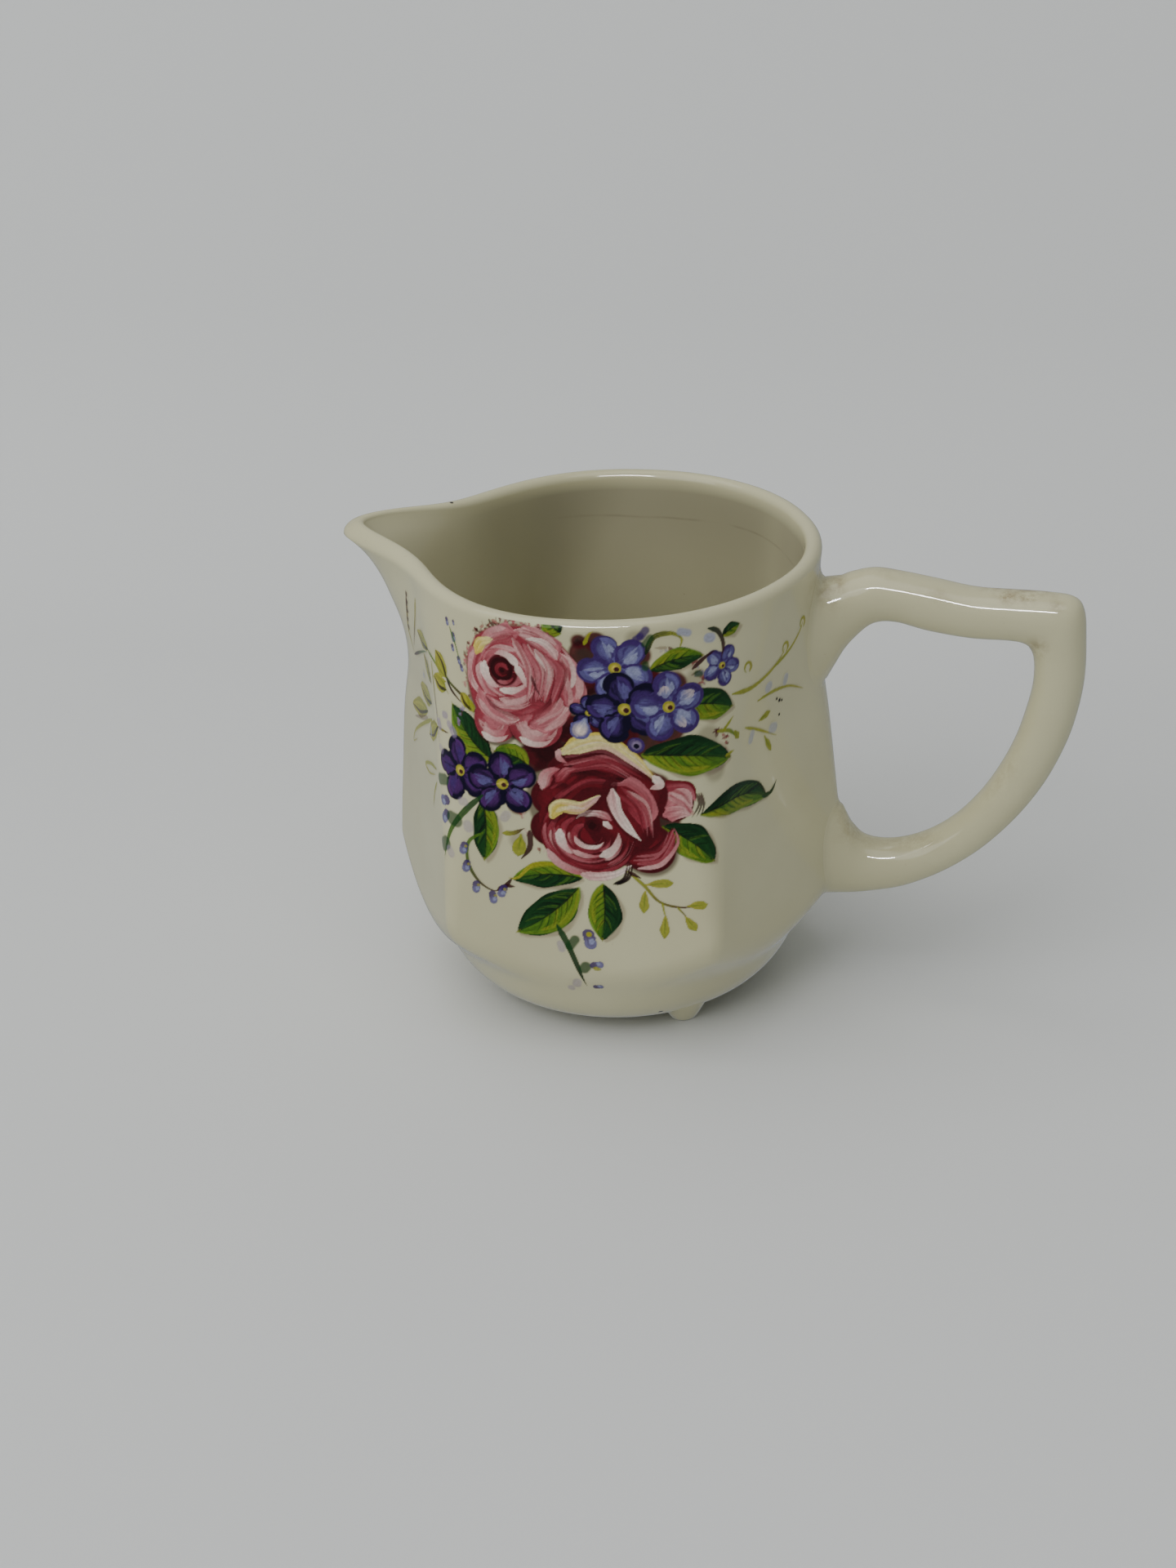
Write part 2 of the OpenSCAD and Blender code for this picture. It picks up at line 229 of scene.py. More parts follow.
def section_radius(phi, front, side, rho):
    """Radius of the rounded six-sided section at angle phi."""
    turn = np.mod(phi, math.pi)
    q = np.where(turn > math.pi / 2, math.pi - turn, turn)
    cos_tilt = math.cos(SIDE_TILT)
    sin_tilt = math.sin(SIDE_TILT)
    y_front = front - rho
    x_front = (side - rho - sin_tilt * y_front) / cos_tilt
    x_side = (side - rho) / cos_tilt
    along = side * np.tan(q - SIDE_TILT)
    side_start = -(side - rho) * sin_tilt / cos_tilt
    side_end = cos_tilt * y_front - sin_tilt * x_front
    radius = side / np.cos(q - SIDE_TILT)
    radius = np.where(along > side_end, arc_radius(q, x_front, y_front, rho), radius)
    radius = np.where(along < side_start, arc_radius(q, x_side, 0, rho), radius)
    flat = front * np.cos(q) <= x_front * np.sin(q)
    return np.where(flat, front / np.maximum(np.sin(q), 1e-6), radius)


def bowl_radius(z):
    """Radius of the turned underside at height z."""
    return curve(BOWL_STATIONS, np.maximum(z, FOOT_HEIGHT), 1)


def off_spout(phi):
    """Degrees between an angle and the spout."""
    return np.abs(np.mod(np.degrees(phi), 360) - 180)


def spout_tip(phi):
    """1 at the spout's tip, fading to 0 beside it."""
    return np.exp(-(off_spout(phi) / RISE_SPREAD) ** 2)


def spout_add(phi, z):
    """What the spout adds to the radius, less what is drawn in beside it."""
    depth = np.minimum(z - LIP_Z, 0)
    away = np.hypot(off_spout(phi), KEEL_ROUND) / SPOUT_WIDTH
    beak = np.exp((KEEL_ROUND / SPOUT_WIDTH) ** KEEL_POWER - away ** KEEL_POWER)
    below = z - RIM_HEIGHT
    keel = SPOUT_LENGTH * beak * np.exp(depth / SPOUT_DEPTH) * smooth((below + KEEL_END) / KEEL_FADE)
    draw = SPOUT_PINCH / (1 + (off_spout(phi) / PINCH_SPREAD) ** PINCH_POWER)
    return keel - draw * np.exp(depth / PINCH_DEPTH) * smooth((below + PINCH_END) / PINCH_FADE)


def wall_values(z):
    """Distances to the front and side panels, and rounding of the corners, at height z."""
    d = (RIM_HEIGHT - z) / DROP
    rho = curve(WALL_STATIONS, d, 3)
    side = (curve(WALL_STATIONS, d, 2) - rho) * math.cos(SIDE_TILT) + rho
    return curve(WALL_STATIONS, d, 1), side, rho


def outer_radius(phi, z):
    """Radius of the outside of the body at an angle and a height."""
    front, side, rho = wall_values(z)
    panels = section_radius(phi, front, side, rho)
    return blend_min(panels, bowl_radius(z), BELLY_BLEND) + spout_add(phi, z)


def inner_radius(phi, z):
    """Radius of the hollow inside at an angle and a height."""
    front, side, rho = wall_values(z)
    panels = section_radius(phi, front - WALL, side - WALL, np.maximum(rho - WALL, INNER_ROUND))
    bowl = bowl_radius(z - INNER_BOWL_RISE) - WALL
    return blend_min(panels, bowl, INNER_BLEND) + spout_add(phi, z) - TIP_EXTRA * spout_tip(phi)


def lift(phi, z, amount):
    """How much higher the wall is near the spout's tip."""
    return amount * spout_tip(phi) * smooth((z - RIM_HEIGHT + RISE_END) / (RISE_END - LIP_R))


def polar(radius, phi, z):
    """Points in the shared frame, in millimetres, from cylindrical ones about the body's axis."""
    return np.stack([AXIS_X + radius * np.cos(phi), radius * np.sin(phi), z + 0 * phi], -1)


def outer_point(phi, z):
    """Points on the outside, raised near the spout's tip."""
    return polar(outer_radius(phi, z), phi, z + lift(phi, z, OUTER_RISE))


def inner_point(phi, z):
    """Points on the inside, raised near the spout's tip."""
    return polar(inner_radius(phi, z), phi, z + lift(phi, z, TIP_RISE))


def lip_point(phi, angle):
    """A point on the rounded lip, from the outside at angle 0 over to the inside at half a turn."""
    outer = outer_radius(phi, LIP_Z)
    inner = inner_radius(phi, LIP_Z)
    t = (1 - np.cos(angle)) / 2
    rise = spout_tip(phi) * (OUTER_RISE + (TIP_RISE - OUTER_RISE) * t)
    return polar(outer + (inner - outer) * t, phi, LIP_Z + LIP_R * np.sin(angle) + rise)


def skin_point(phi, v, rise):
    """A point that far off the glaze at height v, where heights above the lip's start go round it."""
    v = v + 0 * phi
    level = np.minimum(v, LIP_Z)
    wall = polar(outer_radius(phi, level) + rise, phi, level + lift(phi, level, OUTER_RISE))
    turn = np.maximum(v - LIP_Z, 0) / LIP_R
    lip = lip_point(phi, turn)
    outward = np.stack([np.cos(phi) * np.cos(turn), np.sin(phi) * np.cos(turn), np.sin(turn)], -1)
    return np.where((v > LIP_Z)[..., None], lip + rise * outward, wall)


# ---------------------------------------------------------------- mesh helpers
def make_object(name, points, faces, material):
    """A mesh object in metres from points in millimetres."""
    mesh = bpy.data.meshes.new(name)
    mesh.from_pydata((np.asarray(points, float) * MM).tolist(), [], faces)
    mesh.update()
    mesh.polygons.foreach_set("use_smooth", np.ones(len(mesh.polygons), bool))
    mesh.materials.append(material)
    piece = bpy.data.objects.new(name, mesh)
    bpy.context.scene.collection.objects.link(piece)
    return piece


def closed_piece(name, rings, material):
    """A closed skin through rings of points: quads between the rings, and a lid on each end."""
    count = len(rings[0])
    starts = np.arange(len(rings) - 1)[:, None] * count
    a = starts + np.arange(count)
    b = starts + (np.arange(count) + 1) % count
    faces = np.stack([a, b, b + count, a + count], -1).reshape(-1, 4).tolist()
    last = (len(rings) - 1) * count
    faces.append(list(range(count))[::-1])
    faces.append([last + i for i in range(count)])
    return make_object(name, np.concatenate(rings), faces, material)


# ---------------------------------------------------------------- the three ceramic forms
def corner_angles(per_sector):
    """Angles round the body, closer together at its six corners."""
    corner = math.atan2(PANEL_REACH, CORNER_REACH - PANEL_REACH * math.tan(SIDE_TILT))
    half = [0, corner, math.pi - corner, math.pi]
    ends = half + [math.pi + a for a in half[1:]]
    u = np.arange(per_sector) / per_sector
    u = u - CORNER_CROWDING * np.sin(2 * math.pi * u)
    return np.concatenate([a + (b - a) * u for a, b in zip(ends[:-1], ends[1:])])


def build_body(material):
    """The cast body in one closed skin: floor, inside, lip, outside and underside."""
    phi = corner_angles(SECTOR_COLUMNS)[None, :]
    floor_z = FOOT_HEIGHT + FLOOR_T
    inside_z = floor_z + (LIP_Z - floor_z) * np.linspace(0, 1, INSIDE_RINGS) ** INSIDE_CROWDING
    outside_z = FOOT_HEIGHT + (LIP_Z - FOOT_HEIGHT) * np.linspace(1, 0, OUTSIDE_RINGS) ** OUTSIDE_CROWDING
    inside = [inner_point(phi, z)[0] for z in inside_z]
    lip = [lip_point(phi, a)[0] for a in np.linspace(math.pi, 0, LIP_RINGS + 2)[1:-1]]
    outside = [outer_point(phi, z)[0] for z in outside_z]
    shares = (0.04, 0.3, 0.6, 0.85)
    middle_in = [AXIS_X, 0, floor_z]
    middle_out = [AXIS_X, 0, FOOT_HEIGHT]
    floor = [middle_in + share * (inside[0] - middle_in) for share in shares]
    base = [middle_out + share * (outside[-1] - middle_out) for share in reversed(shares)]
    piece = closed_piece("glazed_body", floor + inside + lip + outside + base, material)
    # Painted shade: the inside is darker from just under the lip down, and less so near the floor.
    depth = (LIP_Z - inside_z) / DROP
    inside_shade = smooth(depth * 90) * (1 - 0.72 * smooth(depth * 1.5))
    inside_shade = np.concatenate([np.full(len(floor), inside_shade[0]), inside_shade,
                             np.zeros(len(lip) + len(outside) + len(base))])
    # Painted light: that shade is paler towards the spout and in two upright bands behind the corners.
    around = np.degrees(phi[0])
    inside_light = 0.75 * smooth((65 - np.abs(around - 180)) / 45)
    for band, width in ((131, 9), (39, 7)):
        inside_light = inside_light + 0.14 * np.exp(-((around - band) / width) ** 2)
    add_values(piece, "inside", (inside_shade[:, None] * (1 - inside_light)[None, :]).ravel())
    add_values(piece, "stain", stain_values(piece, BODY_STAINS))
    return piece


def catmull(values, t):
    """Smooth curve through rows of values at the fractional row t."""
    n = len(values) - 1
    i = np.clip(np.floor(t).astype(int), 0, n - 1)
    u = (t - i)[:, None]
    p0 = values[np.maximum(i - 1, 0)]
    p1 = values[i]
    p2 = values[i + 1]
    p3 = values[np.minimum(i + 2, n)]
    cubic = 2 * p0 - 5 * p1 + 4 * p2 - p3 + u * (3 * p1 - p0 - 3 * p2 + p3)
    return p1 + u / 2 * (p2 - p0 + u * cubic)


def signed_power(value, power):
    """A power that keeps the sign, which squares up an ellipse."""
    return np.sign(value) * np.abs(value) ** power


def rib_ring(rib):
    """The squarish cross-section of the handle at one row of its ribs."""
    v = 2 * math.pi * np.arange(HANDLE_COLUMNS) / HANDLE_COLUMNS
    along = signed_power(np.cos(v), 2 / HANDLE_SQUARE)
    across = signed_power(np.sin(v), 2 / HANDLE_SQUARE)
    share = (1 + along) / 2
    x = rib[2] + (rib[0] - rib[2]) * share
    depth = rib[3] + (rib[1] - rib[3]) * share
    return np.stack([AXIS_X + x, rib[4] * across, RIM_HEIGHT - depth], -1)


def on_wall(points, stand_off):
    """Moves points along X until they stand that far off the outside of the body."""
    y = points[:, 1]
    z = points[:, 2]
    x = np.full(len(points), 46.0)
    for _ in range(8):
        x = np.sqrt(np.maximum(outer_radius(np.arctan2(y, x), z) ** 2 - y * y, 1))
    return np.stack([AXIS_X + x + stand_off, y, z], -1)


def root_rings(ring):
    """Rings that spread from the handle onto the wall in a small fillet, then close under it."""
    middle = ring.mean(0)
    stations = ((1.01, 0.9), (1.05, 0.42), (1.11, 0.14), (1.19, 0.02), (1.22, -0.15),
                (1.1, -0.6), (0.7, -0.6), (0.2, -0.6))
    return [on_wall(middle + grow * (ring - middle), stand_off) for grow, stand_off in stations]


def build_handle(material):
    """The handle in one closed skin, with a root on the wall at each end."""
    rows = np.linspace(1, len(HANDLE_RIBS) - 2, HANDLE_RINGS)
    bow = [rib_ring(rib) for rib in catmull(HANDLE_RIBS, rows)]
    upper = root_rings(rib_ring(HANDLE_RIBS[0]))[::-1]
    lower = root_rings(rib_ring(HANDLE_RIBS[-1]))
    piece = closed_piece("glazed_handle", upper + bow + lower, material)
    add_values(piece, "stain", stain_values(piece, HANDLE_STAINS))
    return piece


def build_foot(name, angle, material):
    """A small stuck-on foot with softened edges, sunk into the underside."""
    edge = ((0.1, 0.0), (0.78, 0.0), (0.92, 0.06), (1.02, 0.28), (1.1, 0.7))
    stations = [(share * FOOT_R, z) for share, z in edge]
    stations += [(FOOT_R + FOOT_FLARE * z / FOOT_TOP, z) for z in np.linspace(1.2, 0.93 * FOOT_TOP, 8)]
    v = 2 * math.pi * np.arange(FOOT_COLUMNS) / FOOT_COLUMNS
    turn = math.radians(angle)
    centre = np.array([AXIS_X + FOOT_REACH * math.cos(turn), FOOT_REACH * math.sin(turn), 0])
    rings = [centre + np.stack([r * np.cos(v), r * np.sin(v), z + 0 * v], -1) for r, z in stations]
    return closed_piece(name, rings, material)


# ---------------------------------------------------------------- the printed flowers
# Paint colours, linear.
BLUSH = (0.58, 0.33, 0.31)
PINK = (0.42, 0.125, 0.14)
ROSE = (0.26, 0.032, 0.045)
WINE = (0.07, 0.004, 0.007)
CRIMSON = (0.145, 0.007, 0.013)
MAROON = (0.028, 0.002, 0.003)
WHITE = (0.72, 0.60, 0.52)
CREAM = (0.68, 0.60, 0.25)
BUTTER = (0.60, 0.47, 0.085)
SKY = (0.27, 0.29, 0.43)
BLUE = (0.105, 0.094, 0.245)
VIOLET = (0.045, 0.019, 0.115)
INK = (0.004, 0.002, 0.016)
LILAC = (0.25, 0.19, 0.30)
PURPLE = (0.062, 0.016, 0.105)
FOREST = (0.002, 0.017, 0.004)
GREEN = (0.008, 0.052, 0.010)
MOSS = (0.066, 0.155, 0.012)
SPRING = (0.135, 0.235, 0.018)
LIME = (0.26, 0.275, 0.02)
SEED = (0.32, 0.30, 0.03)
TWIG = (0.05, 0.011, 0.012)
BLACK = (0.003, 0.002, 0.002)

# Share of a stroke's width along its length, from 0 at the start to 1 at the end.
PROFILES = {
    "even": lambda t: 1 + 0 * t,
    "leaf": lambda t: np.sin(math.pi * np.clip(t, 0, 1)) ** 0.75 + 0.02,
    "petal": lambda t: 0.3 + 0.7 * smooth(t / 0.7),
    "brush": lambda t: np.minimum(0.35 + 5 * t, 1) * (1 - t ** 3) + 0.08,
    "seed": lambda t: 0.2 + 0.8 * np.sin(math.pi * np.clip(t, 0, 1) ** 1.5) ** 0.8,
}


def arc(centre, rx, ry, start, end, count=7):
    """Points on an ellipse between two angles in degrees."""
    a = np.radians(np.linspace(start, end, count))
    return np.stack([centre[0] + rx * np.cos(a), centre[1] + ry * np.sin(a)], -1)


class Print:
    """A sheet of fired paint: u is millimetres along the surface, v is height above the table."""

    def __init__(self, reach, heights, step, seed):
        self.low = np.array([-reach, heights[0]], float)
        self.step = step
        self.size = np.ceil(([reach, heights[1]] - self.low) / step).astype(int) + 1
        self.colour = np.zeros((self.size[1], self.size[0], 3))
        self.cover = np.zeros((self.size[1], self.size[0]))
        self.random = np.random.default_rng(seed)

    def stroke(self, path, width, colour, tip=None, profile="brush", edge=None, side=0,
               cover=1.0, soft=0.16, bristle=0.16, ragged=1.0):
        """One brush stroke: colour runs to tip along it, and to edge on one side or on both."""
        path = np.asarray(path, float)
        if len(path) > 2:
            path = catmull(path, np.linspace(0, len(path) - 1, 5 * len(path)))
        a = path[:-1]
        ab = path[1:] - a
        lengths = np.hypot(ab[:, 0], ab[:, 1])
        at = np.concatenate([[0], np.cumsum(lengths)])
        at = at / at[-1]
        reach = width + 2 * soft
        lo = np.maximum(np.floor((path.min(0) - reach - self.low) / self.step).astype(int), 0)
        hi = np.minimum(np.ceil((path.max(0) + reach - self.low) / self.step).astype(int) + 1, self.size)
        if (hi <= lo).any():
            return
        us = self.low[0] + self.step * np.arange(lo[0], hi[0])
        vs = self.low[1] + self.step * np.arange(lo[1], hi[1])
        grid = np.stack(np.meshgrid(us, vs), -1)[:, :, None, :]
        rel = grid - a
        h = np.clip((rel * ab).sum(-1) / np.maximum(lengths ** 2, 1e-9), 0, 1)
        away = rel - h[..., None] * ab
        distance = np.hypot(away[..., 0], away[..., 1])
        near = distance.argmin(-1)[..., None]
        d = np.take_along_axis(distance, near, -1)[..., 0]
        t = np.take_along_axis(at[:-1] + h * (at[1:] - at[:-1]), near, -1)[..., 0]
        cross = ab[:, 0] * rel[..., 1] - ab[:, 1] * rel[..., 0]
        sign = np.sign(np.take_along_axis(cross, near, -1)[..., 0])
        w = width * PROFILES[profile](t)
        s = sign * d / np.maximum(w, 1e-3)
        p = self.random.uniform(0, 2 * math.pi, 5)
        hairs = (0.5 * np.sin(7 * s + p[0] + 2 * np.sin(3 * t + p[1]))
                 + 0.3 * np.sin(15 * s + p[2] + 2 * t) + 0.2 * np.sin(29 * s + p[3] + 5 * t))
        wander = ragged * width * (0.06 * np.sin(13 * t + p[4]) + 0.05 * hairs)
        amount = cover * smooth((w + wander - d) / soft + 0.5)
        tone = np.array(colour)[None, None, :] + 0 * d[..., None]
        if tip is not None:
            k = smooth(t + 0.22 * hairs)[..., None]
            tone = tone + (np.array(tip) - tone) * k
        if edge is not None:
            place = np.abs(s) if side == 0 else s * side
            k = smooth((place + 0.18 * hairs - 0.25) / 0.6)[..., None]
            tone = tone + (np.array(edge) - tone) * k
        tone = tone * (1 + bristle * hairs)[..., None]
        view = (slice(lo[1], hi[1]), slice(lo[0], hi[0]))
        old = self.cover[view]
        total = amount + old * (1 - amount)
        mixed = tone * amount[..., None] + self.colour[view] * (old * (1 - amount))[..., None]
        self.colour[view] = mixed / np.maximum(total, 1e-6)[..., None]
        self.cover[view] = total

    def dot(self, place, radius, colour, **options):
        """A round dab."""
        place = np.asarray(place, float)
        self.stroke([place - (0.02, 0), place + (0.02, 0)], radius, colour, profile="even", ragged=0,
                    **options)

    def streaks(self, path, spread, count, width, colours, cover=0.6):
        """Loose thin strokes that follow a path, side by side."""
        path = np.asarray(path, float)
        for _ in range(count):
            shift = self.random.normal(0, spread, 2)
            bend = self.random.normal(0, 0.25 * spread, path.shape)
            colour = colours[self.random.integers(len(colours))]
            self.stroke(path + shift + bend, width * self.random.uniform(0.6, 1.3), colour,
                        profile="brush", cover=cover, bristle=0.1)


def unit(angle):
    """The direction at an angle in degrees."""
    a = math.radians(angle)
    return np.array([math.cos(a), math.sin(a)])


def square_to(way):
    """The direction a quarter turn on."""
    return np.array([-way[1], way[0]])


def paint_flower(sheet, centre, size, deep, mid, light, turn):
    """A five-petalled flower: dark ground, petals with streaks, yellow eye."""
    centre = np.array(centre, float)
    sheet.dot(centre, 0.5 * size, deep, soft=0.4)
    for k in range(5):
        way = unit(turn + 72 * k + sheet.random.uniform(-6, 6))
        across = square_to(way)
        side = 1 if k % 2 else -1
        root = centre + 0.1 * size * way
        end = centre + 0.62 * size * way
        sheet.stroke([root, end + 0.02 * size * way], 0.37 * size, deep, profile="petal", soft=0.3)
        sheet.stroke([root + 0.1 * size * way, end], 0.315 * size, mid, edge=deep, side=-side,
                     profile="petal", soft=0.3, bristle=0.3)
        for offset in (-0.2, -0.11, -0.02, 0.07, 0.16, 0.22):
            start = centre + 0.3 * size * way + 0.4 * offset * size * across
            stop = centre + (0.84 - abs(offset)) * size * way + offset * size * across
            middle = (start + stop) / 2 + 0.35 * offset * size * across
            lit = light if offset * side > -0.05 else mid
            tone = lit if sheet.random.random() < 0.75 else deep
            sheet.stroke([start, middle, stop], 0.055 * size, tone, cover=0.62)
        glint = end + 0.13 * side * size * across
        sheet.stroke([glint - 0.16 * size * way, glint + 0.08 * size * way], 0.07 * size, light,
                     cover=0.85)
        sheet.stroke([root, centre + 0.34 * size * way], 0.05 * size, deep, cover=0.7)
    sheet.dot(centre, 0.165 * size, BUTTER, edge=SEED)
    sheet.dot(centre + (0.04 * size, -0.03 * size), 0.07 * size, TWIG)


def paint_leaf(sheet, start, end, half_width, bend=0.0, light_side=-1, veins=4, shadow=True):
    """A leaf with a deep half and a light half, long brush marks and a dark rib."""
    start = np.array(start, float)
    end = np.array(end, float)
    along = end - start
    across = square_to(along) / np.hypot(*along)
    rise = np.array([0, 0.75, 1, 0.75, 0])[:, None]
    rib = start + np.linspace(0, 1, 5)[:, None] * along + rise * bend * across
    bulge = np.array([0.05, 0.75, 1, 0.7, 0.05])[:, None] * half_width * across
    if shadow:
        sheet.stroke(rib + (0.7, -0.6), 1.02 * half_width, WINE, profile="leaf", cover=0.4, soft=0.9)
    sheet.stroke(rib, half_width, GREEN, profile="leaf", edge=FOREST, side=-light_side, bristle=0.25)
    sheet.stroke(rib + 0.5 * light_side * bulge, 0.52 * half_width, MOSS, MOSS, profile="leaf",
                 edge=SPRING, side=light_side, cover=0.95, soft=0.4, bristle=0.3)
    sheet.stroke((rib + 0.72 * light_side * bulge)[:4], 0.24 * half_width, SPRING, LIME, cover=0.8,
                 soft=0.3)
    sheet.stroke(rib - 0.5 * light_side * bulge, 0.46 * half_width, FOREST, GREEN, profile="leaf",
                 cover=0.7, soft=0.5)
    for side in (-1, 1):
        lit = side == light_side
        tones = ((MOSS, LIME, SPRING, SPRING) if lit else (GREEN, FOREST, MOSS, GREEN))
        for k in range(3 * veins):
            share = 0.04 + 0.6 * k / (3 * veins) + sheet.random.uniform(-0.03, 0.03)
            out = sheet.random.uniform(0.45, 0.92) * math.sin(math.pi * min(share + 0.2, 1))
            root = start + share * along + 4 * share * (1 - share) * bend * across
            tip = root + 0.26 * along + side * out * half_width * across
            middle = (root + tip) / 2 + 0.16 * side * out * half_width * across
            sheet.stroke([root, middle, tip], 0.2 + 0.03 * half_width, tones[sheet.random.integers(4)],
                         cover=0.5)
        for k in range(veins):
            share = 0.1 + 0.62 * k / veins
            root = start + share * along + 4 * share * (1 - share) * bend * across
            reach = 0.72 * half_width * math.sin(math.pi * min(share + 0.2, 1))
            tip = root + 0.2 * along + side * reach * across
            sheet.stroke([root, (root + tip) / 2 + 0.1 * side * reach * across, tip], 0.13,
                         FOREST if lit else BLACK, cover=0.6)
    sheet.stroke((rib + 0.88 * light_side * bulge)[:4], 0.2, LIME, MOSS, cover=0.7)
    sheet.stroke(rib, 0.16, BLACK, FOREST, cover=0.85)
    sheet.stroke([end - 0.07 * along, end + 0.04 * along], 0.2, FOREST, LIME, cover=0.8)


def paint_mist(sheet, centre, rx, ry, start, end, count, colours):
    """Ragged dabs along an edge, as a nearly dry brush leaves them."""
    for _ in range(count):
        a = math.radians(sheet.random.uniform(start, end))
        r = sheet.random.uniform(0.96, 1.07)
        place = np.array([centre[0] + r * rx * math.cos(a), centre[1] + r * ry * math.sin(a)])
        jog = sheet.random.normal(0, 0.45, 2)
        colour = colours[sheet.random.integers(len(colours))]
        sheet.stroke([place - jog, place + jog], sheet.random.uniform(0.14, 0.4), colour,
                     cover=sheet.random.uniform(0.35, 0.85))


def paint_stem(sheet, path, width, colour, tip=None):
    """A stem or tendril in one stroke."""
    sheet.stroke(path, width, colour, tip, profile="brush", cover=0.95)


def paint_seed(sheet, start, end, half_width, colour=SEED):
    """A small seed leaf with a darker rib."""
    sheet.stroke([start, end], half_width, colour, LIME, profile="seed", cover=0.95)
    start = np.array(start, float)
    end = np.array(end, float)
    sheet.stroke([start + 0.15 * (end - start), start + 0.8 * (end - start)], 0.12, MOSS, cover=0.6)


def paint_bud(sheet, place, size, turn=-90):
    """A small blue bud: two dabs and a light one."""
    place = np.array(place, float)
    way = unit(turn)
    across = square_to(way)
    sheet.stroke([place - 0.5 * size * way, place + 0.4 * size * way], 0.55 * size, VIOLET, BLUE,
                 profile="even", cover=0.9)
    sheet.stroke([place + 0.25 * size * across, place + 0.5 * size * way], 0.28 * size, SKY, cover=0.8)


def paint_dabs(sheet, places, size, colour, cover):
    """Small soft smudges of one colour."""
    for place in places:
        jog = sheet.random.normal(0, 0.4 * size, 2)
        place = np.array(place, float)
        sheet.stroke([place - jog, place + jog + (0.05, 0)], size * sheet.random.uniform(0.8, 1.2),
                     colour, profile="even", cover=cover, soft=0.5, ragged=0.2)


def paint_pink_rose(sheet, centre):
    """A full-blown pale rose seen from above left: outer petals, swirl and dark heart."""
    c = np.array(centre, float)
    heart = c + (-3.4, 1.8)
    sheet.dot(c + (0.3, -0.5), 12.4, WINE, soft=0.9, cover=0.75)
    for shift, width in (((0, -0.6), 11.6), ((1.6, 2), 9.8), ((-2, 1.4), 9.6)):
        sheet.dot(c + shift, width, PINK, edge=ROSE, soft=0.6)
    for spot, size in (((-5.6, -9.4), 4.5), ((2.8, -9.2), 5.3)):
        sheet.dot(c + spot + (0.3, -0.3), size + 0.4, MAROON, cover=0.75, soft=0.7)
        sheet.dot(c + spot, size, PINK, edge=ROSE)
        sheet.streaks(arc(c + spot, 0.5 * size, 0.5 * size, 190, 350, 4), 0.6, 9, 0.5,
                      [PINK, ROSE, BLUSH])
        sheet.stroke(arc(c + spot, 0.62 * size, 0.66 * size, 215, 325, 5), 0.8, BLUSH, PINK, cover=0.8)
        sheet.stroke(arc(c + spot, 0.84 * size, 0.86 * size, 225, 318, 5), 0.62, WHITE, BLUSH, cover=0.92)
        sheet.stroke(arc(c + spot + (0, 0.6), 0.7 * size, 0.7 * size, 40, 150, 5), 0.9, ROSE, cover=0.75)
    # Outer petals, each a broad curved stroke with a light rim and a deep inner edge.
    outer = [
        (9.6, 9.6, -75, -12, 2.6), (10.4, 10.2, -24, 44, 2.7), (9.6, 10.4, 36, 94, 2.5),
        (9.6, 9.6, 92, 150, 2.3), (9.6, 9.2, 146, 208, 2.4), (8.7, 8.4, 202, 268, 2.5),
    ]
    for rx, ry, a0, a1, width in outer:
        path = arc(c, rx, ry, a0, a1)
        sheet.stroke(path, width, PINK, BLUSH, edge=ROSE, side=1, bristle=0.24)
        sheet.streaks(arc(c, rx, ry, a0 + 6, a1 - 6, 5), 0.7, 7, 0.4, [PINK, ROSE, BLUSH], 0.55)
        sheet.stroke(arc(c, rx + 0.66 * width, ry + 0.66 * width, a0 + 10, a1 - 10), 0.55, BLUSH, PINK,
                     cover=0.8)
        sheet.stroke(arc(c, rx - 0.9 * width, ry - 0.9 * width, a0, a1 - 4), 0.5, ROSE, WINE, cover=0.75)
        sheet.stroke(arc(c, rx, ry, a1 - 8, a1 - 2, 3), 0.5, ROSE, cover=0.5)
    # Inner swirl round the heart.
    for ring, (radius, tone,
               shade) in enumerate(((7.2, PINK, ROSE), (5.9, BLUSH, PINK), (4.6, PINK, ROSE))):
        middle = heart + (0.16 * radius, -0.16 * radius)
        for k in range(4):
            a0 = 40 + 95 * k + 28 * ring
            sheet.stroke(arc(middle, radius, 0.88 * radius, a0, a0 + 86), 1.1, tone, shade, edge=ROSE,
                         side=1, cover=0.95, bristle=0.24)
            sheet.streaks(arc(middle, radius, 0.88 * radius, a0 + 8, a0 + 76, 5), 0.3, 3, 0.28,
                          [PINK, ROSE, BLUSH], 0.6)
            sheet.stroke(arc(middle, radius - 0.9, 0.88 * radius - 0.8, a0, a0 + 80), 0.24, ROSE, WINE,
                         cover=0.65)
    sheet.dot(heart, 3.3, ROSE, edge=WINE, soft=0.5)
    sheet.dot(heart + (-0.2, 0.2), 2.5, WINE, edge=MAROON, soft=0.3)
    sheet.stroke(arc(heart, 1.25, 1.15, 20, 320), 0.4, ROSE, CRIMSON, cover=0.85)
    sheet.dot(heart, 0.5, MAROON)
    sheet.stroke(arc(heart, 2.6, 2.5, 250, 330), 0.4, PINK, ROSE, cover=0.8)
    # Light edges of the petals nearest the heart.
    sheet.stroke(arc(heart, 4.1, 3.7, 165, 262), 0.95, WHITE, BLUSH)
    sheet.stroke(arc(heart + (0.6, -0.6), 4.6, 3.6, 258, 330), 0.7, WHITE, BLUSH)
    sheet.stroke(arc(heart, 3.4, 3.6, 22, 118), 0.75, WHITE, BLUSH)
    sheet.stroke(heart + [(3.0, 1.5), (4.2, -0.8), (5.2, -3.2)], 0.7, WHITE, BLUSH)
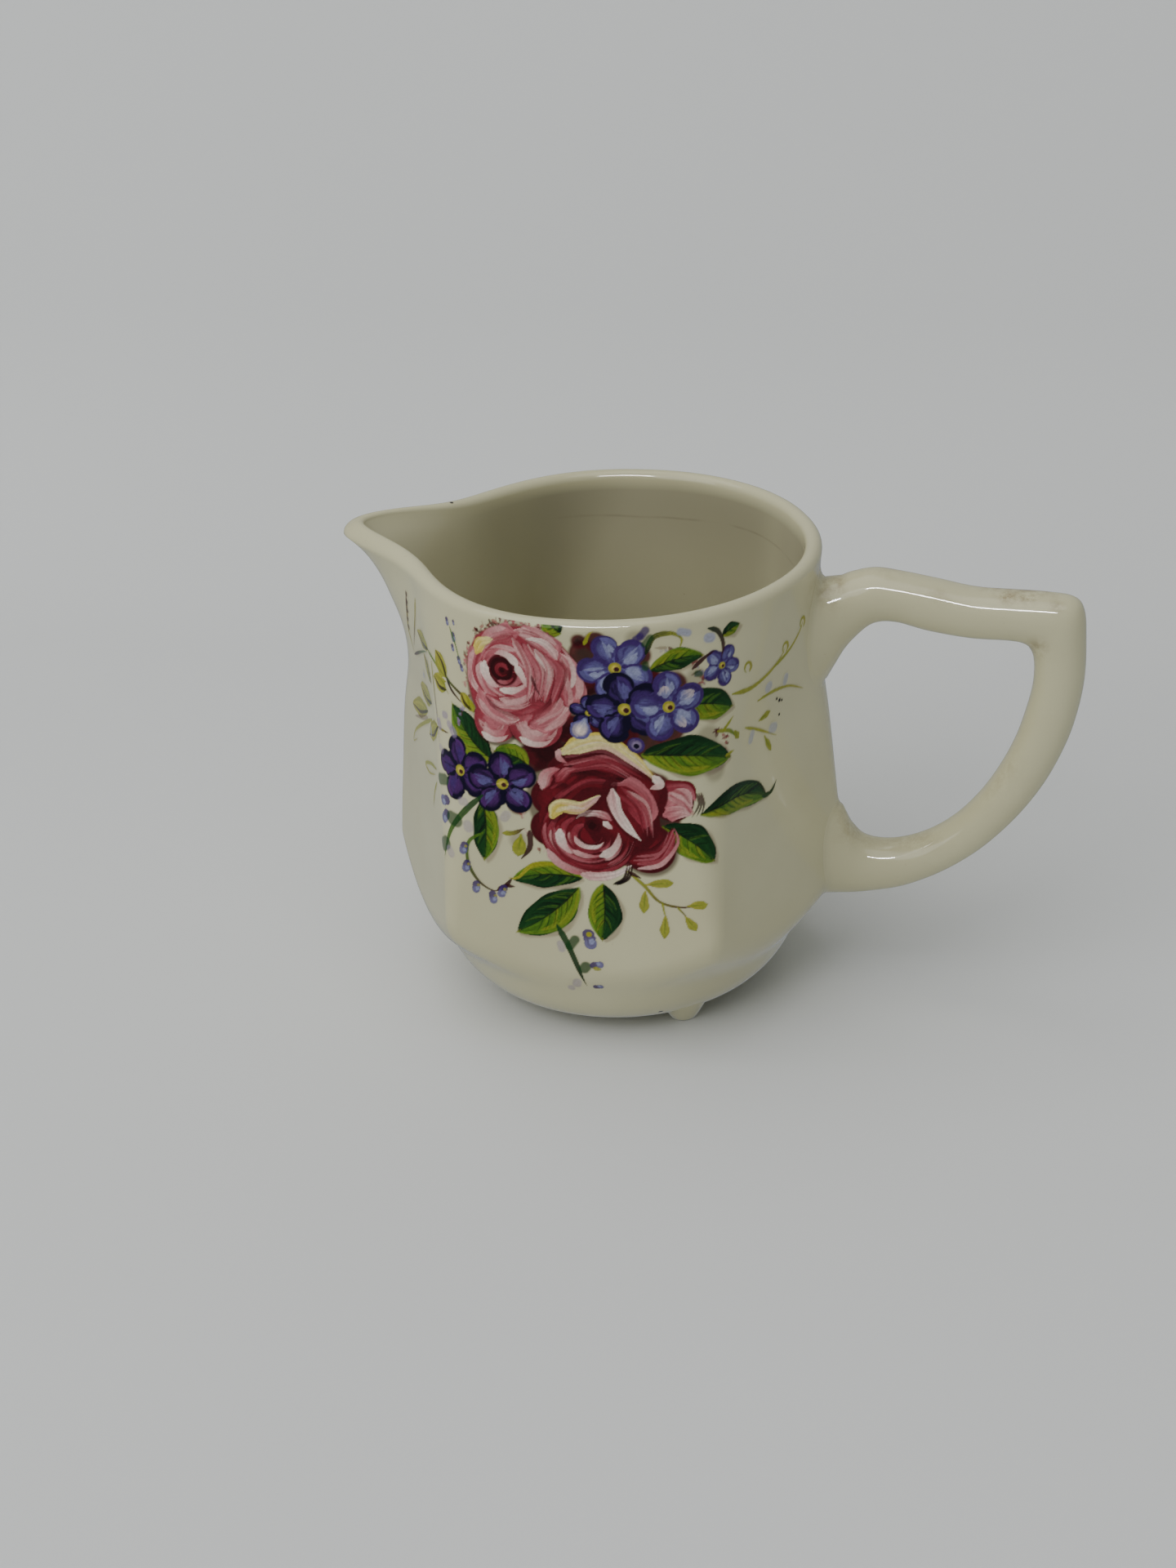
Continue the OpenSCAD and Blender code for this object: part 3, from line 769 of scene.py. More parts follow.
    # Petals that sweep down on the right.
    for k, tone in enumerate((BLUSH, PINK, WHITE, PINK)):
        start = c + (-0.6 + 2.2 * k, 8.8 - 0.9 * k)
        bulge = c + (2.4 + 2.0 * k, 2.6)
        end = c + (1.6 + 1.6 * k, -4.2)
        sheet.stroke([start, bulge, end], 0.95, tone, PINK, edge=ROSE, side=1, cover=0.8)
        sheet.streaks([start, bulge, end], 0.45, 3, 0.26, [BLUSH, ROSE, PINK], 0.6)
        sheet.stroke([start + (1.1, 0), bulge + (1.15, 0), end + (0.9, 0)], 0.3, ROSE, WINE, cover=0.7)
    sheet.stroke(arc(c + (3.0, 3.4), 5.0, 5.8, 22, 100), 1.0, BLUSH, WHITE, edge=PINK, side=1)
    sheet.stroke(arc(c + (2.6, 2.4), 8.4, 8.4, -20, 40), 0.5, WHITE, BLUSH, cover=0.7)
    sheet.stroke(c + [(-9.4, 4.4), (-8.2, 6.6), (-5.4, 7.9)], 1.15, BUTTER, CREAM, cover=0.9)
    sheet.stroke(c + [(2.6, 1.4), (3.4, -1.2), (4.2, -3.0)], 0.3, MAROON, cover=0.7)
    sheet.stroke(arc(c + (-1, -0.8), 7.4, 6.6, 214, 300), 0.45, WINE, ROSE, cover=0.6)


def paint_red_rose(sheet, centre):
    """A deep rose with turned-over cream petals round a cup of close petals."""
    c = np.array(centre, float)
    # Back petals.
    for spot, size in (((0, 3), 13.2), ((11.0, -7.4), 6.0)):
        sheet.dot(c + spot + (0.2, -0.6), size, MAROON, soft=1.0, cover=0.7)
    for spot, size in (((-3.5, 7.2), 5.4), ((3.5, 8.6), 6.4), ((9.2, 4.4), 6.0), ((-7.8, 2.4), 4.4),
                       ((-8.4, -4.4), 4.2), ((11.0, -7.6), 5.6), ((0, -4), 10.0), ((6, -2), 7.5)):
        sheet.dot(c + spot, size, CRIMSON, edge=WINE, soft=0.4)
    sheet.streaks(c + [(-7, 3.5), (-1, 7.6), (6, 7.6)], 1.5, 16, 0.5, [CRIMSON, ROSE, WINE, WINE])
    sheet.stroke(c + [(-4.2, 9.2), (1.0, 8.4), (6.2, 6.4)], 0.9, MAROON, WINE, cover=0.8, soft=0.5)
    sheet.stroke(c + [(5.2, 7.4), (9.4, 6.2), (12.2, 1.2)], 0.5, MAROON, cover=0.8)
    sheet.stroke(c + [(-6.6, 6.2), (-4.6, 8.4), (-3.0, 9.0)], 1.1, ROSE, PINK, edge=CRIMSON, side=-1)
    sheet.streaks(c + [(-4, 9.8), (3, 11.4), (9, 8.4)], 0.9, 12, 0.45, [ROSE, CRIMSON, ROSE, PINK])
    sheet.streaks(c + [(-9.5, -1), (-9.8, -4.5), (-8, -8)], 0.7, 8, 0.45, [CRIMSON, ROSE, WINE])
    sheet.stroke(c + [(-9.6, 4.6), (-8.6, 7.6), (-6.2, 8.8)], 1.3, BLUSH, PINK, edge=ROSE, side=-1)
    # Right-hand petal, rolled open.
    sheet.stroke(c + [(5, 5.4), (9.6, 2.6), (10.6, -3.4)], 3.4, CRIMSON, ROSE, edge=PINK, side=1)
    sheet.streaks(c + [(6.4, 4.8), (10, 1.6), (11.2, -3.6)], 0.8, 10, 0.4, [PINK, ROSE, CRIMSON, BLUSH])
    sheet.stroke(c + [(2.6, 4.2), (4.2, 6.2), (4.0, 1.4)], 1.0, WINE, MAROON, cover=0.8)
    sheet.stroke(c + [(8, -10.4), (13.4, -8.6), (16, -3.2)], 2.0, CRIMSON, ROSE, edge=WINE, side=1)
    sheet.streaks(c + [(8.6, -11), (13.6, -9.6), (16.2, -4)], 0.5, 8, 0.4, [PINK, ROSE, CRIMSON])
    sheet.stroke(c + [(9, -12.3), (13.6, -11), (16.9, -6.2), (16.4, -3)], 0.45, BLUSH, PINK)
    # The cup: close rings, light edges to the lower left.
    cup = c + (-0.6, -5.6)
    for k, radius in enumerate((9.0, 7.7, 6.4, 5.2, 4.0, 2.9)):
        tone, shade = ((CRIMSON, WINE), (ROSE, CRIMSON))[k % 2]
        sheet.stroke(arc(cup, radius, 0.88 * radius, 150 - 8 * k, 372 - 8 * k, 11), 0.85, tone, shade,
                     edge=WINE, side=1, bristle=0.25)
        for part in range(3):
            a0 = 165 + 62 * part + sheet.random.uniform(-10, 10)
            sheet.stroke(arc(cup, radius + 0.2, 0.88 * radius + 0.2, a0, a0 + 50, 5), 0.36,
                         (PINK, BLUSH, ROSE)[(k + part) % 3], ROSE, cover=0.8)
        sheet.streaks(arc(cup, radius, 0.88 * radius, 170, 350, 8), 0.28, 3, 0.22,
                      [PINK, ROSE, CRIMSON], 0.55)
        sheet.stroke(arc(cup, radius - 0.7, 0.88 * radius - 0.6, 160, 350, 9), 0.27, WINE, MAROON,
                     cover=0.75)
    sheet.stroke(arc(cup, 9.6, 8.9, 205, 262), 0.75, BLUSH, PINK)
    sheet.stroke(arc(cup + (0.8, -0.2), 9.8, 8.9, 255, 318), 0.95, BLUSH, WHITE)
    sheet.stroke(arc(cup, 6.1, 5.3, 172, 232), 0.95, WHITE, BLUSH)
    sheet.stroke(arc(cup, 5.4, 4.6, 232, 288), 0.55, BLUSH, PINK)
    sheet.stroke(arc(cup + (0.4, 0.3), 5.4, 4.9, 288, 370), 0.8, WHITE, BLUSH, cover=0.9)
    sheet.stroke(arc(cup, 3.1, 2.6, 190, 330), 0.5, BLUSH, WHITE)
    heart = cup + (0.7, 2.3)
    sheet.dot(heart, 1.8, MAROON, edge=WINE)
    sheet.stroke(arc(heart + (0.2, 0.9), 3.6, 1.9, 20, 165), 0.75, PINK, WHITE, cover=0.95)
    sheet.stroke(heart + [(2.2, 0.9), (3.9, -0.6)], 0.6, WHITE, BLUSH)
    # Turned-over petal edges.
    left_edge = c + [(-8.0, -1.6), (-6.4, 0.7), (-2.4, 0.6), (1.6, 3.4)]
    sheet.stroke(left_edge + (0.4, -0.9), 1.4, WINE, cover=0.7, soft=0.4)
    sheet.stroke(left_edge, 1.45, BUTTER, BLUSH, edge=CREAM, side=1)
    sheet.stroke(c + [(-7.2, -0.6), (-4.8, 0.4), (-1.4, 0.4)], 0.4, CREAM, WHITE, cover=0.8)
    right_edge = c + [(4.2, 4.8), (4.8, 0.6), (7.0, -3.2), (9.6, -6.0)]
    sheet.stroke(right_edge + (-0.5, -0.5), 1.2, WINE, cover=0.7, soft=0.4)
    sheet.stroke(right_edge, 1.15, BLUSH, WHITE, edge=WHITE, side=1)
    top_edge = c + [(-5.2, 12.6), (-1.6, 14.6), (3.2, 15.4), (8.4, 12.0), (12.8, 7.6)]
    sheet.stroke(top_edge + (0, -1.1), 1.9, WINE, cover=0.6, soft=0.5)
    sheet.stroke(top_edge, 1.75, CREAM, BLUSH, edge=BUTTER, side=1)
    sheet.streaks(top_edge, 0.4, 8, 0.28, [WHITE, CREAM, BLUSH, BUTTER], 0.6)
    sheet.stroke(c + [(12.6, 8.2), (13.6, 6.6), (11.8, 5.6)], 0.9, WHITE, BLUSH)
    sheet.stroke(c + [(-6.0, 13.0), (-6.2, 11.4), (-4.6, 10.2)], 0.6, BLUSH, PINK)


def paint_half_bud(sheet, centre):
    """A pink half-open rose to the right of the deep one."""
    c = np.array(centre, float)
    sheet.dot(c + (-1.2, 0.4), 4.3, CRIMSON, edge=WINE, soft=0.3)
    sheet.stroke(c + [(-3, 3), (1.4, 3.2), (3.4, 0.4)], 1.7, ROSE, PINK, edge=CRIMSON, side=1)
    sheet.stroke(c + [(-2, -0.5), (0.6, 1.2), (2.6, -0.6)], 2.1, PINK, BLUSH)
    sheet.stroke(c + [(-2.6, -2.6), (0.2, -1.8), (2.4, -2.6)], 1.5, PINK, BLUSH)
    sheet.streaks(c + [(-1.5, 1.8), (1, 0.4), (2.6, -2)], 0.7, 9, 0.3, [BLUSH, PINK, ROSE, BLUSH])
    for lean in (0.0, 0.9, 1.8):
        sheet.stroke(c + [(3.6 + 0.5 * lean, 1.8), (4.0 + 0.6 * lean, -0.6), (2.6 + lean, -3.0)], 0.25,
                     TWIG, BLACK, cover=0.85)


def paint_shade(sheet):
    """Deep red shade that ties the flowers together."""
    for spot, size in (((-3, 71.5), 4.5), ((2.5, 74.5), 4.4), ((-8.5, 68.5), 3.2), ((13, 74), 4.6),
                       ((3.2, 92), 3.2), ((13.8, 86), 3.6), ((18.5, 76.5), 3.6), ((2.2, 94.8), 1.6),
                       ((8, 76), 5), ((15.8, 63.5), 3.2), ((17.5, 57), 3.2), ((-11.8, 58), 2.2),
                       ((2.8, 86), 3.0), ((4.6, 83.4), 3.2), ((14.4, 81), 3.4), ((20, 85), 2.6),
                       ((-6, 70), 4), ((-1, 75.5), 3.2), ((13.6, 91.6), 2.2), ((5.4, 94.8), 2.2),
                       ((15, 85.4), 3.4)):
        sheet.dot(spot, size, MAROON, edge=WINE, soft=0.9, cover=0.96)
    for spot, size in (((24.5, 85.5), 2.2), ((26.5, 73), 2.4), ((28, 65.8), 2.2), ((-11, 96.2), 2.8),
                       ((12.8, 95.2), 1.8), ((-20, 78.5), 2.4), ((-12.2, 50.0), 1.8)):
        sheet.dot(spot, size, MAROON, soft=1.6, cover=0.38)

    paint_mist(sheet, (14.0, 84.0), 11.5, 9.0, -60, 100, 60, [WINE, LILAC, ROSE])
    paint_mist(sheet, (22.0, 70.6), 9.0, 4.4, -40, 50, 26, [WINE, ROSE])


def paint_leaves(sheet):
    """Leaves behind the flowers."""
    paint_leaf(sheet, (-16.5, 67.5), (-26.5, 77), 3.6, 0.6, light_side=1)
    paint_leaf(sheet, (-9.5, 67), (-16, 69.5), 2.6, -0.6, light_side=-1, veins=3)
    paint_leaf(sheet, (15.5, 88.5), (26, 90), 2.1, 0.9, light_side=1, veins=4)
    paint_leaf(sheet, (21, 80.5), (32.5, 77.8), 3.3, 0.7, light_side=-1)
    paint_leaf(sheet, (13.6, 70.6), (31.5, 67.6), 4.0, 0.9, light_side=-1, veins=7)
    paint_leaf(sheet, (24.8, 57.6), (44.5, 54.2), 2.9, 2.2, light_side=-1, veins=7)
    sheet.stroke([(43.0, 54.6), (46.0, 54.4), (48.0, 56.2)], 0.5, GREEN, FOREST)
    paint_leaf(sheet, (17.2, 55), (27.2, 47.4), 3.5, 0.9, light_side=-1)
    paint_leaf(sheet, (-1.2, 96.4), (-4.5, 99), 2.2, 0, light_side=1, veins=2, shadow=False)
    paint_leaf(sheet, (30.5, 93), (34.5, 94.4), 1.3, 0.2, veins=2)
    paint_leaf(sheet, (-19, 59), (-19.4, 45.2), 2.6, 0.5, light_side=1)
    paint_leaf(sheet, (0.4, 42.4), (-13.6, 41.2), 2.9, -0.9, light_side=-1)
    sheet.stroke([(-5, 45.2), (-9.5, 44.6), (-12.6, 41.6), (-14.6, 41.4)], 0.5, LIME, SEED)
    paint_leaf(sheet, (-0.4, 40), (-13.2, 29.2), 3.9, 0.9, light_side=1, veins=6)
    paint_leaf(sheet, (4.8, 41.2), (4.2, 28.6), 3.4, 0.4, light_side=-1, veins=6)


def paint_ground(sheet):
    """Ragged ground round the flowers."""
    paint_mist(sheet, (-10.2, 85.3), 12.4, 12.2, 55, 140, 70, [WINE, MAROON, ROSE])
    paint_mist(sheet, (-10.2, 85.3), 12.2, 12.0, 140, 250, 45, [ROSE, WINE, PINK])
    paint_mist(sheet, (3.0, 57.6), 14.2, 13.0, 150, 330, 80, [WINE, ROSE, BLUSH])
    paint_mist(sheet, (-20.0, 70.0), 5.0, 9.0, 60, 160, 30, [WINE, LILAC])


def paint_blue_flowers(sheet):
    """Blue and purple flowers."""
    paint_flower(sheet, (3.2, 79.2), 3.9, INK, VIOLET, BLUE, 20)
    paint_flower(sheet, (8.8, 89.2), 7.4, VIOLET, BLUE, SKY, 112)
    paint_flower(sheet, (10.3, 80.4), 7.8, INK, VIOLET, BLUE, 100)
    paint_flower(sheet, (18.8, 80.6), 7.2, VIOLET, BLUE, SKY, 98)
    sheet.stroke([(2.4, 77.6), (1.4, 75.2)], 2.1, SKY, WHITE, edge=BLUE, profile="petal")
    sheet.stroke([(18.2, 83.0), (18.0, 85.0)], 1.3, SKY, WHITE, cover=0.6)
    sheet.stroke([(21.5, 82.0), (24.0, 83.2)], 1.2, SKY, WHITE, cover=0.6)
    sheet.stroke([(20.5, 78.4), (22.0, 76.0)], 1.0, SKY, WHITE, cover=0.6)
    paint_flower(sheet, (-24.0, 64.0), 6.8, INK, PURPLE, VIOLET, 105)
    paint_flower(sheet, (-14.8, 62.4), 7.2, INK, PURPLE, BLUE, 95)
    paint_flower(sheet, (30.2, 86.9), 4.4, VIOLET, BLUE, SKY, 60)
    sheet.dot((12.2, 72.6), 1.7, LILAC, edge=VIOLET)
    sheet.dot((12.3, 72.4), 0.55, INK)


def paint_top_curls(sheet):
    """Curls, buds and dabs at the top."""
    paint_stem(sheet, [(14.8, 92.0), (16.4, 95.2), (19.8, 95.6), (21.8, 94.2), (21.4, 92.4)], 0.55,
               FOREST, LIME)
    paint_dabs(sheet, [(14.4, 96.2), (13.4, 95.4)], 0.8, VIOLET, 0.85)
    paint_dabs(sheet, [(15.2, 94.6), (14.6, 89.4), (25, 86.4)], 0.6, GREEN, 0.8)
    paint_dabs(sheet, [(22.4, 95.4), (27.6, 93.2)], 0.95, SKY, 0.75)
    for stem in (([(27.4, 95.2), (29.4, 94.2), (30.6, 91.4), (30.2, 88.6)], 0.5, FOREST, TWIG),
                 ([(23.8, 87.6), (26.4, 89.4), (28.6, 90.4)], 0.42, TWIG, MAROON),
                 ([(3.2, 94.2), (4.2, 96.4), (5.0, 97.0)], 0.35, LIME, SEED)):
        paint_stem(sheet, *stem)


def paint_climbing_buds(sheet):
    """Blue dots climbing beside the pink rose."""
    for place, size in (((-28.4, 93.4), 0.9), ((-26.2, 93.8), 0.6), ((-26.2, 90.8), 1.1),
                        ((-26.4, 88.6), 0.8), ((-24.4, 86.6), 0.9), ((-23.6, 85.2), 0.8)):
        paint_bud(sheet, place, size, -70)
    paint_stem(sheet, [(-27.6, 92.6), (-25.6, 89.6), (-24.2, 86.4)], 0.2, MOSS)


def paint_lower_stem(sheet):
    """Lower stem with blue buds."""
    paint_stem(sheet, [(-5.0, 31.2), (-3.0, 27), (-1.0, 21.6), (0.4, 16.8)], 0.62, GREEN, FOREST)
    paint_dabs(sheet, [(-2.0, 27.4), (0.4, 21.8)], 1.0, GREEN, 0.85)
    paint_bud(sheet, (1.6, 28.4), 2.3, -80)
    sheet.dot((1.5, 29.6), 0.6, SEED)
    paint_bud(sheet, (3.0, 22.6), 1.4, 10)
    sheet.stroke([(2.2, 21.8), (3.8, 21.6)], 0.45, SEED, LIME, cover=0.85)
    paint_bud(sheet, (2.8, 16.6), 1.1, 5)
    paint_dabs(sheet, [(-4.4, 26.4), (-1.6, 17.4), (-3.0, 15.6)], 0.9, LILAC, 0.5)


def paint_sprig(sheet):
    """Yellow-green sprig at the lower right."""
    for stem in (([(9.6, 44.6), (13.0, 41.6), (16.0, 38.2), (20.2, 37.2), (24.6, 38.0)], 0.34, LIME,
                  TWIG),
                 ([(10, 44.4), (12.4, 43.2)], 0.4, TWIG, MAROON),
                 ([(16.6, 38), (17.2, 34.6)], 0.2, LIME),
                 ([(19.6, 37.2), (21.6, 35.0)], 0.2, LIME, TWIG)):
        paint_stem(sheet, *stem)
    for start, end in (((13.4, 41.8), (18.8, 42.6)), ((13.2, 40.4), (12.8, 35.4)),
                       ((17.2, 35), (16.9, 30)), ((21.2, 35.2), (23.4, 32.2)),
                       ((21.8, 37.6), (25.6, 38.2))):
        paint_seed(sheet, start, end, 1.0)


def paint_yellow_bud(sheet):
    """Yellow bud and twigs left of the deep rose."""
    paint_seed(sheet, (-11.6, 51.2), (-12.4, 46.6), 1.5, LIME)
    for stem in (([(-9.8, 52.2), (-9.9, 48.6), (-11.8, 45.8)], 0.6, TWIG, MAROON),
                 ([(-15.2, 51.4), (-13, 51.6), (-10.8, 52.8)], 0.5, LIME, TWIG)):
        paint_stem(sheet, *stem)
    for k in range(3):
        paint_stem(sheet, [(6.8 + 0.4 * k, 41.4), (9.0 + 0.5 * k, 43.0), (9.8 + 0.5 * k, 46.2)], 0.28,
                   BLACK, MAROON)


def paint_left_stem(sheet):
    """Left stem, curl and buds."""
    paint_stem(sheet, [(-19.0, 59.6), (-23.0, 55.6), (-26.8, 50.4), (-29.2, 43.6)], 0.6, GREEN, MOSS)
    for place, size, turn in (((-28.8, 56.2), 1.9, 200), ((-28.6, 52.8), 1.9, 230)):
        paint_bud(sheet, place, size, turn)
    paint_dabs(sheet, [(-25.8, 53.2), (-29.0, 46.8), (-29.8, 60.2)], 1.3, GREEN, 0.8)
    paint_dabs(sheet, [(-23.4, 57.6), (-22.4, 52.4), (-27, 45.8), (-14.6, 55.2), (-30.6, 66.2)], 0.9,
               LILAC, 0.45)
    for stem in (([(-19.4, 51.2), (-22.4, 49.0), (-22.8, 44.4), (-20.8, 40.2), (-17.6, 38.2),
                   (-15.0, 39.8)], 0.36, MOSS, TWIG),
                 ([(-17.0, 38.4), (-15.2, 39.6), (-13.8, 41.4)], 0.5, TWIG, MAROON),
                 ([(-15.4, 39.6), (-13.4, 39.4)], 0.42, MAROON, TWIG)):
        paint_stem(sheet, *stem)
    for place, turn in (((-23.6, 47.4), 250), ((-23.2, 43.4), 255), ((-21.4, 38.8), 265),
                        ((-18.0, 36.6), 275), ((-16.0, 38.2), 250)):
        paint_bud(sheet, place, 1.5, turn)
        sheet.dot(np.array(place) + (0.5, 0.5), 0.32, SEED, cover=0.7)


def paint_spout_spray(sheet):
    """Spray over the left corner, onto the panel beside the spout."""
    paint_stem(sheet, [(-20.6, 78.2), (-24.0, 79.8), (-28.2, 81.6), (-31.4, 84.6), (-33.2, 86.2)], 0.34,
               TWIG, MOSS)
    for start, end in (((-28.6, 82), (-33.0, 85.6)), ((-28.8, 80.8), (-34.4, 79.8)),
                       ((-22.4, 79.8), (-20.6, 77.0))):
        paint_seed(sheet, start, end, 1.05, LIME)
    paint_stem(sheet, [(-50.5, 91), (-52, 86.5), (-53.5, 81.5), (-51.8, 77.4)], 0.34, TWIG, SEED)
    paint_dabs(sheet, [(-50.4, 91), (-51, 89), (-51.6, 87), (-52.4, 85), (-52.9, 83)], 0.45, TWIG, 0.8)
    for stem in (([(-45, 92), (-47.3, 86.5), (-51.2, 79.6)], 0.32, SEED, TWIG),
                 ([(-51.8, 77.4), (-43.8, 81.2), (-38.2, 83.5)], 0.34, TWIG, MOSS),
                 ([(-37.5, 84.2), (-32.5, 82.8), (-30.4, 81), (-27.8, 78.4)], 0.32, MOSS, LIME),
                 ([(-35.5, 82.5), (-34.4, 77), (-32.8, 71.5), (-31.6, 67)], 0.26, LIME, LILAC),
                 ([(-28.5, 81.6), (-27, 79.9), (-25, 78.7), (-23.5, 78)], 0.32, BLACK, TWIG)):
        paint_stem(sheet, *stem)
    # Each leaf: root, tip, half width, and the side of its dark edge.
    for root, tip, half, side in (((-37.5, 84.3), (-46.2, 84.8), 1.7, 1),
                                  ((-36.6, 77.5), (-42, 81.6), 1.6, -1),
                                  ((-28.6, 81.6), (-33.2, 85.9), 2.0, -1),
                                  ((-28.6, 79.1), (-34, 80.3), 1.8, 1),
                                  ((-37.2, 72.8), (-48, 72.4), 2.0, 1),
                                  ((-41.7, 69.3), (-56, 65), 2.0, 1),
                                  ((-32.4, 70), (-40, 65.2), 2.0, 1),
                                  ((-21.2, 77.3), (-23.9, 80.2), 1.3, 1)):
        root = np.array(root)
        tip = np.array(tip)
        across = square_to(tip - root) / np.hypot(*(tip - root))
        belly = 0.5 * (root + tip) + 0.45 * half * side * across
        sheet.stroke([root, tip], half, LIME, SEED, profile="leaf", cover=0.97, bristle=0.3)
        sheet.stroke([root, belly, tip], 0.34, BLACK, TWIG, cover=0.85)
    sheet.stroke([(-41.7, 67.9), (-48, 65.4), (-54, 63.2)], 0.5, WINE, cover=0.55)
    for stem in (([(-37.7, 69.2), (-46.5, 64.6), (-54, 60), (-56, 57), (-52.5, 58.8)], 0.42, LIME, SEED),
                 ([(-34, 60.4), (-39, 59.4), (-44.5, 57), (-41, 56.6), (-35.5, 58.6)], 0.38, LIME, SEED),
                 ([(-34, 57.6), (-36.5, 54.4), (-38.4, 50.5)], 0.3, LIME, SEED),
                 ([(-32.2, 70), (-27.8, 70.4)], 0.28, SEED, TWIG)):
        paint_stem(sheet, *stem)
    paint_dabs(sheet, [(-29.2, 73.7), (-27.4, 72.2), (-26.2, 71.2), (-31.6, 70.9)], 0.8, LILAC, 0.65)
    paint_dabs(sheet, [(-44, 76), (-38.6, 66.4)], 0.6, SKY, 0.5)


def paint_handle_tendrils(sheet):
    """Tendrils over the right corner, towards the handle."""
    for stem in (([(32.6, 80.2), (38.4, 79.6), (44.2, 80.6), (48.2, 82.6), (49.6, 84.6)], 0.46, LIME,
                  SEED),
                 ([(45.6, 81.0), (51.0, 83.0), (54.6, 86.0), (55.6, 88.0)], 0.35, LIME, SEED)):
        paint_stem(sheet, *stem)
    for place in ((36.8, 84.4), (49.4, 84.0), (55.4, 87.2)):
        paint_stem(sheet, arc(place, 0.9, 1.1, -60, 250), 0.32, SEED, LIME)
    for stem in (([(40.6, 75.8), (46.0, 75.8), (51.6, 74.8), (57.0, 72.2)], 0.35, LIME, SEED),
                 ([(28.8, 73.6), (31.8, 72.8), (34.0, 70.4)], 0.41, LIME, MOSS),
                 ([(30.2, 73.4), (32.8, 75.6)], 0.32, LIME),
                 ([(30.6, 68.0), (33.0, 68.4)], 0.32, LIME),
                 ([(36.6, 71.6), (41.2, 69.4), (47.6, 65.8)], 0.30, LIME, SEED)):
        paint_stem(sheet, *stem)
    for start, end in (((41.2, 71.2), (45.2, 71.8)), ((43.4, 67.2), (45.8, 63.4)),
                       ((33, 72.4), (34.4, 70.4))):
        paint_seed(sheet, start, end, 0.7, LIME)
    paint_dabs(sheet, [(44.2, 77.4), (50.2, 76.8), (46.4, 67.8), (38.8, 68.8)], 0.94, SKY, 0.55)
    for place, size in (((47.4, 73.6), 0.3), ((48.4, 72.9), 0.42), ((49.2, 72.6), 0.3),
                        ((48.5, 69.8), 0.28)):
        sheet.dot(place, size, BLACK, soft=0.1)


def paint_bouquet(sheet):
    """The bouquet on the front panel with its sprays over both front corners."""
    paint_shade(sheet)
    paint_leaves(sheet)
    paint_ground(sheet)
    paint_pink_rose(sheet, (-10.2, 85.3))
    paint_half_bud(sheet, (20.2, 60.2))
    paint_red_rose(sheet, (3.0, 57.6))
    paint_blue_flowers(sheet)
    paint_top_curls(sheet)
    paint_climbing_buds(sheet)
    paint_lower_stem(sheet)
    paint_sprig(sheet)
    paint_yellow_bud(sheet)
    paint_left_stem(sheet)
    paint_spout_spray(sheet)
    paint_handle_tendrils(sheet)


def paint_back_spray(sheet):
    """A small spray on the back panel: one pink bud, a blue flower and three leaves."""
    sheet.dot((0.5, 78.5), 3.4, MAROON, edge=WINE, soft=1.0, cover=0.85)
    paint_leaf(sheet, (-2.5, 78), (-12.5, 82.5), 2.6, 0.6, light_side=1)
    paint_leaf(sheet, (2.0, 76.5), (11.5, 70.5), 2.7, 0.7, light_side=-1)
    paint_leaf(sheet, (-1.0, 75.5), (-6.0, 66.0), 2.5, 0.5, light_side=1)
    paint_half_bud(sheet, (2.2, 81.0))
    paint_flower(sheet, (-2.4, 76.6), 5.0, VIOLET, BLUE, SKY, 100)
    for stem in (([(1.0, 74.5), (2.4, 69.5), (1.4, 63.5)], 0.5, GREEN, FOREST),
                 ([(5.0, 84.0), (8.6, 87.0), (12.6, 87.6)], 0.32, LIME, SEED)):
        paint_stem(sheet, *stem)
    for start, end in (((8.0, 86.8), (8.6, 90.6)), ((11.6, 87.8), (14.6, 90.0)),
                       ((3.6, 68.4), (6.8, 66.2))):
        paint_seed(sheet, start, end, 0.9, LIME)
    for place in ((1.0, 62.8), (3.0, 65.4), (-8.0, 86.2), (-10.2, 88.4)):
        paint_bud(sheet, place, 1.1, 250)
    paint_dabs(sheet, [(-6.4, 84.4), (8.2, 78.6), (-9.0, 73.0)], 0.9, LILAC, 0.5)


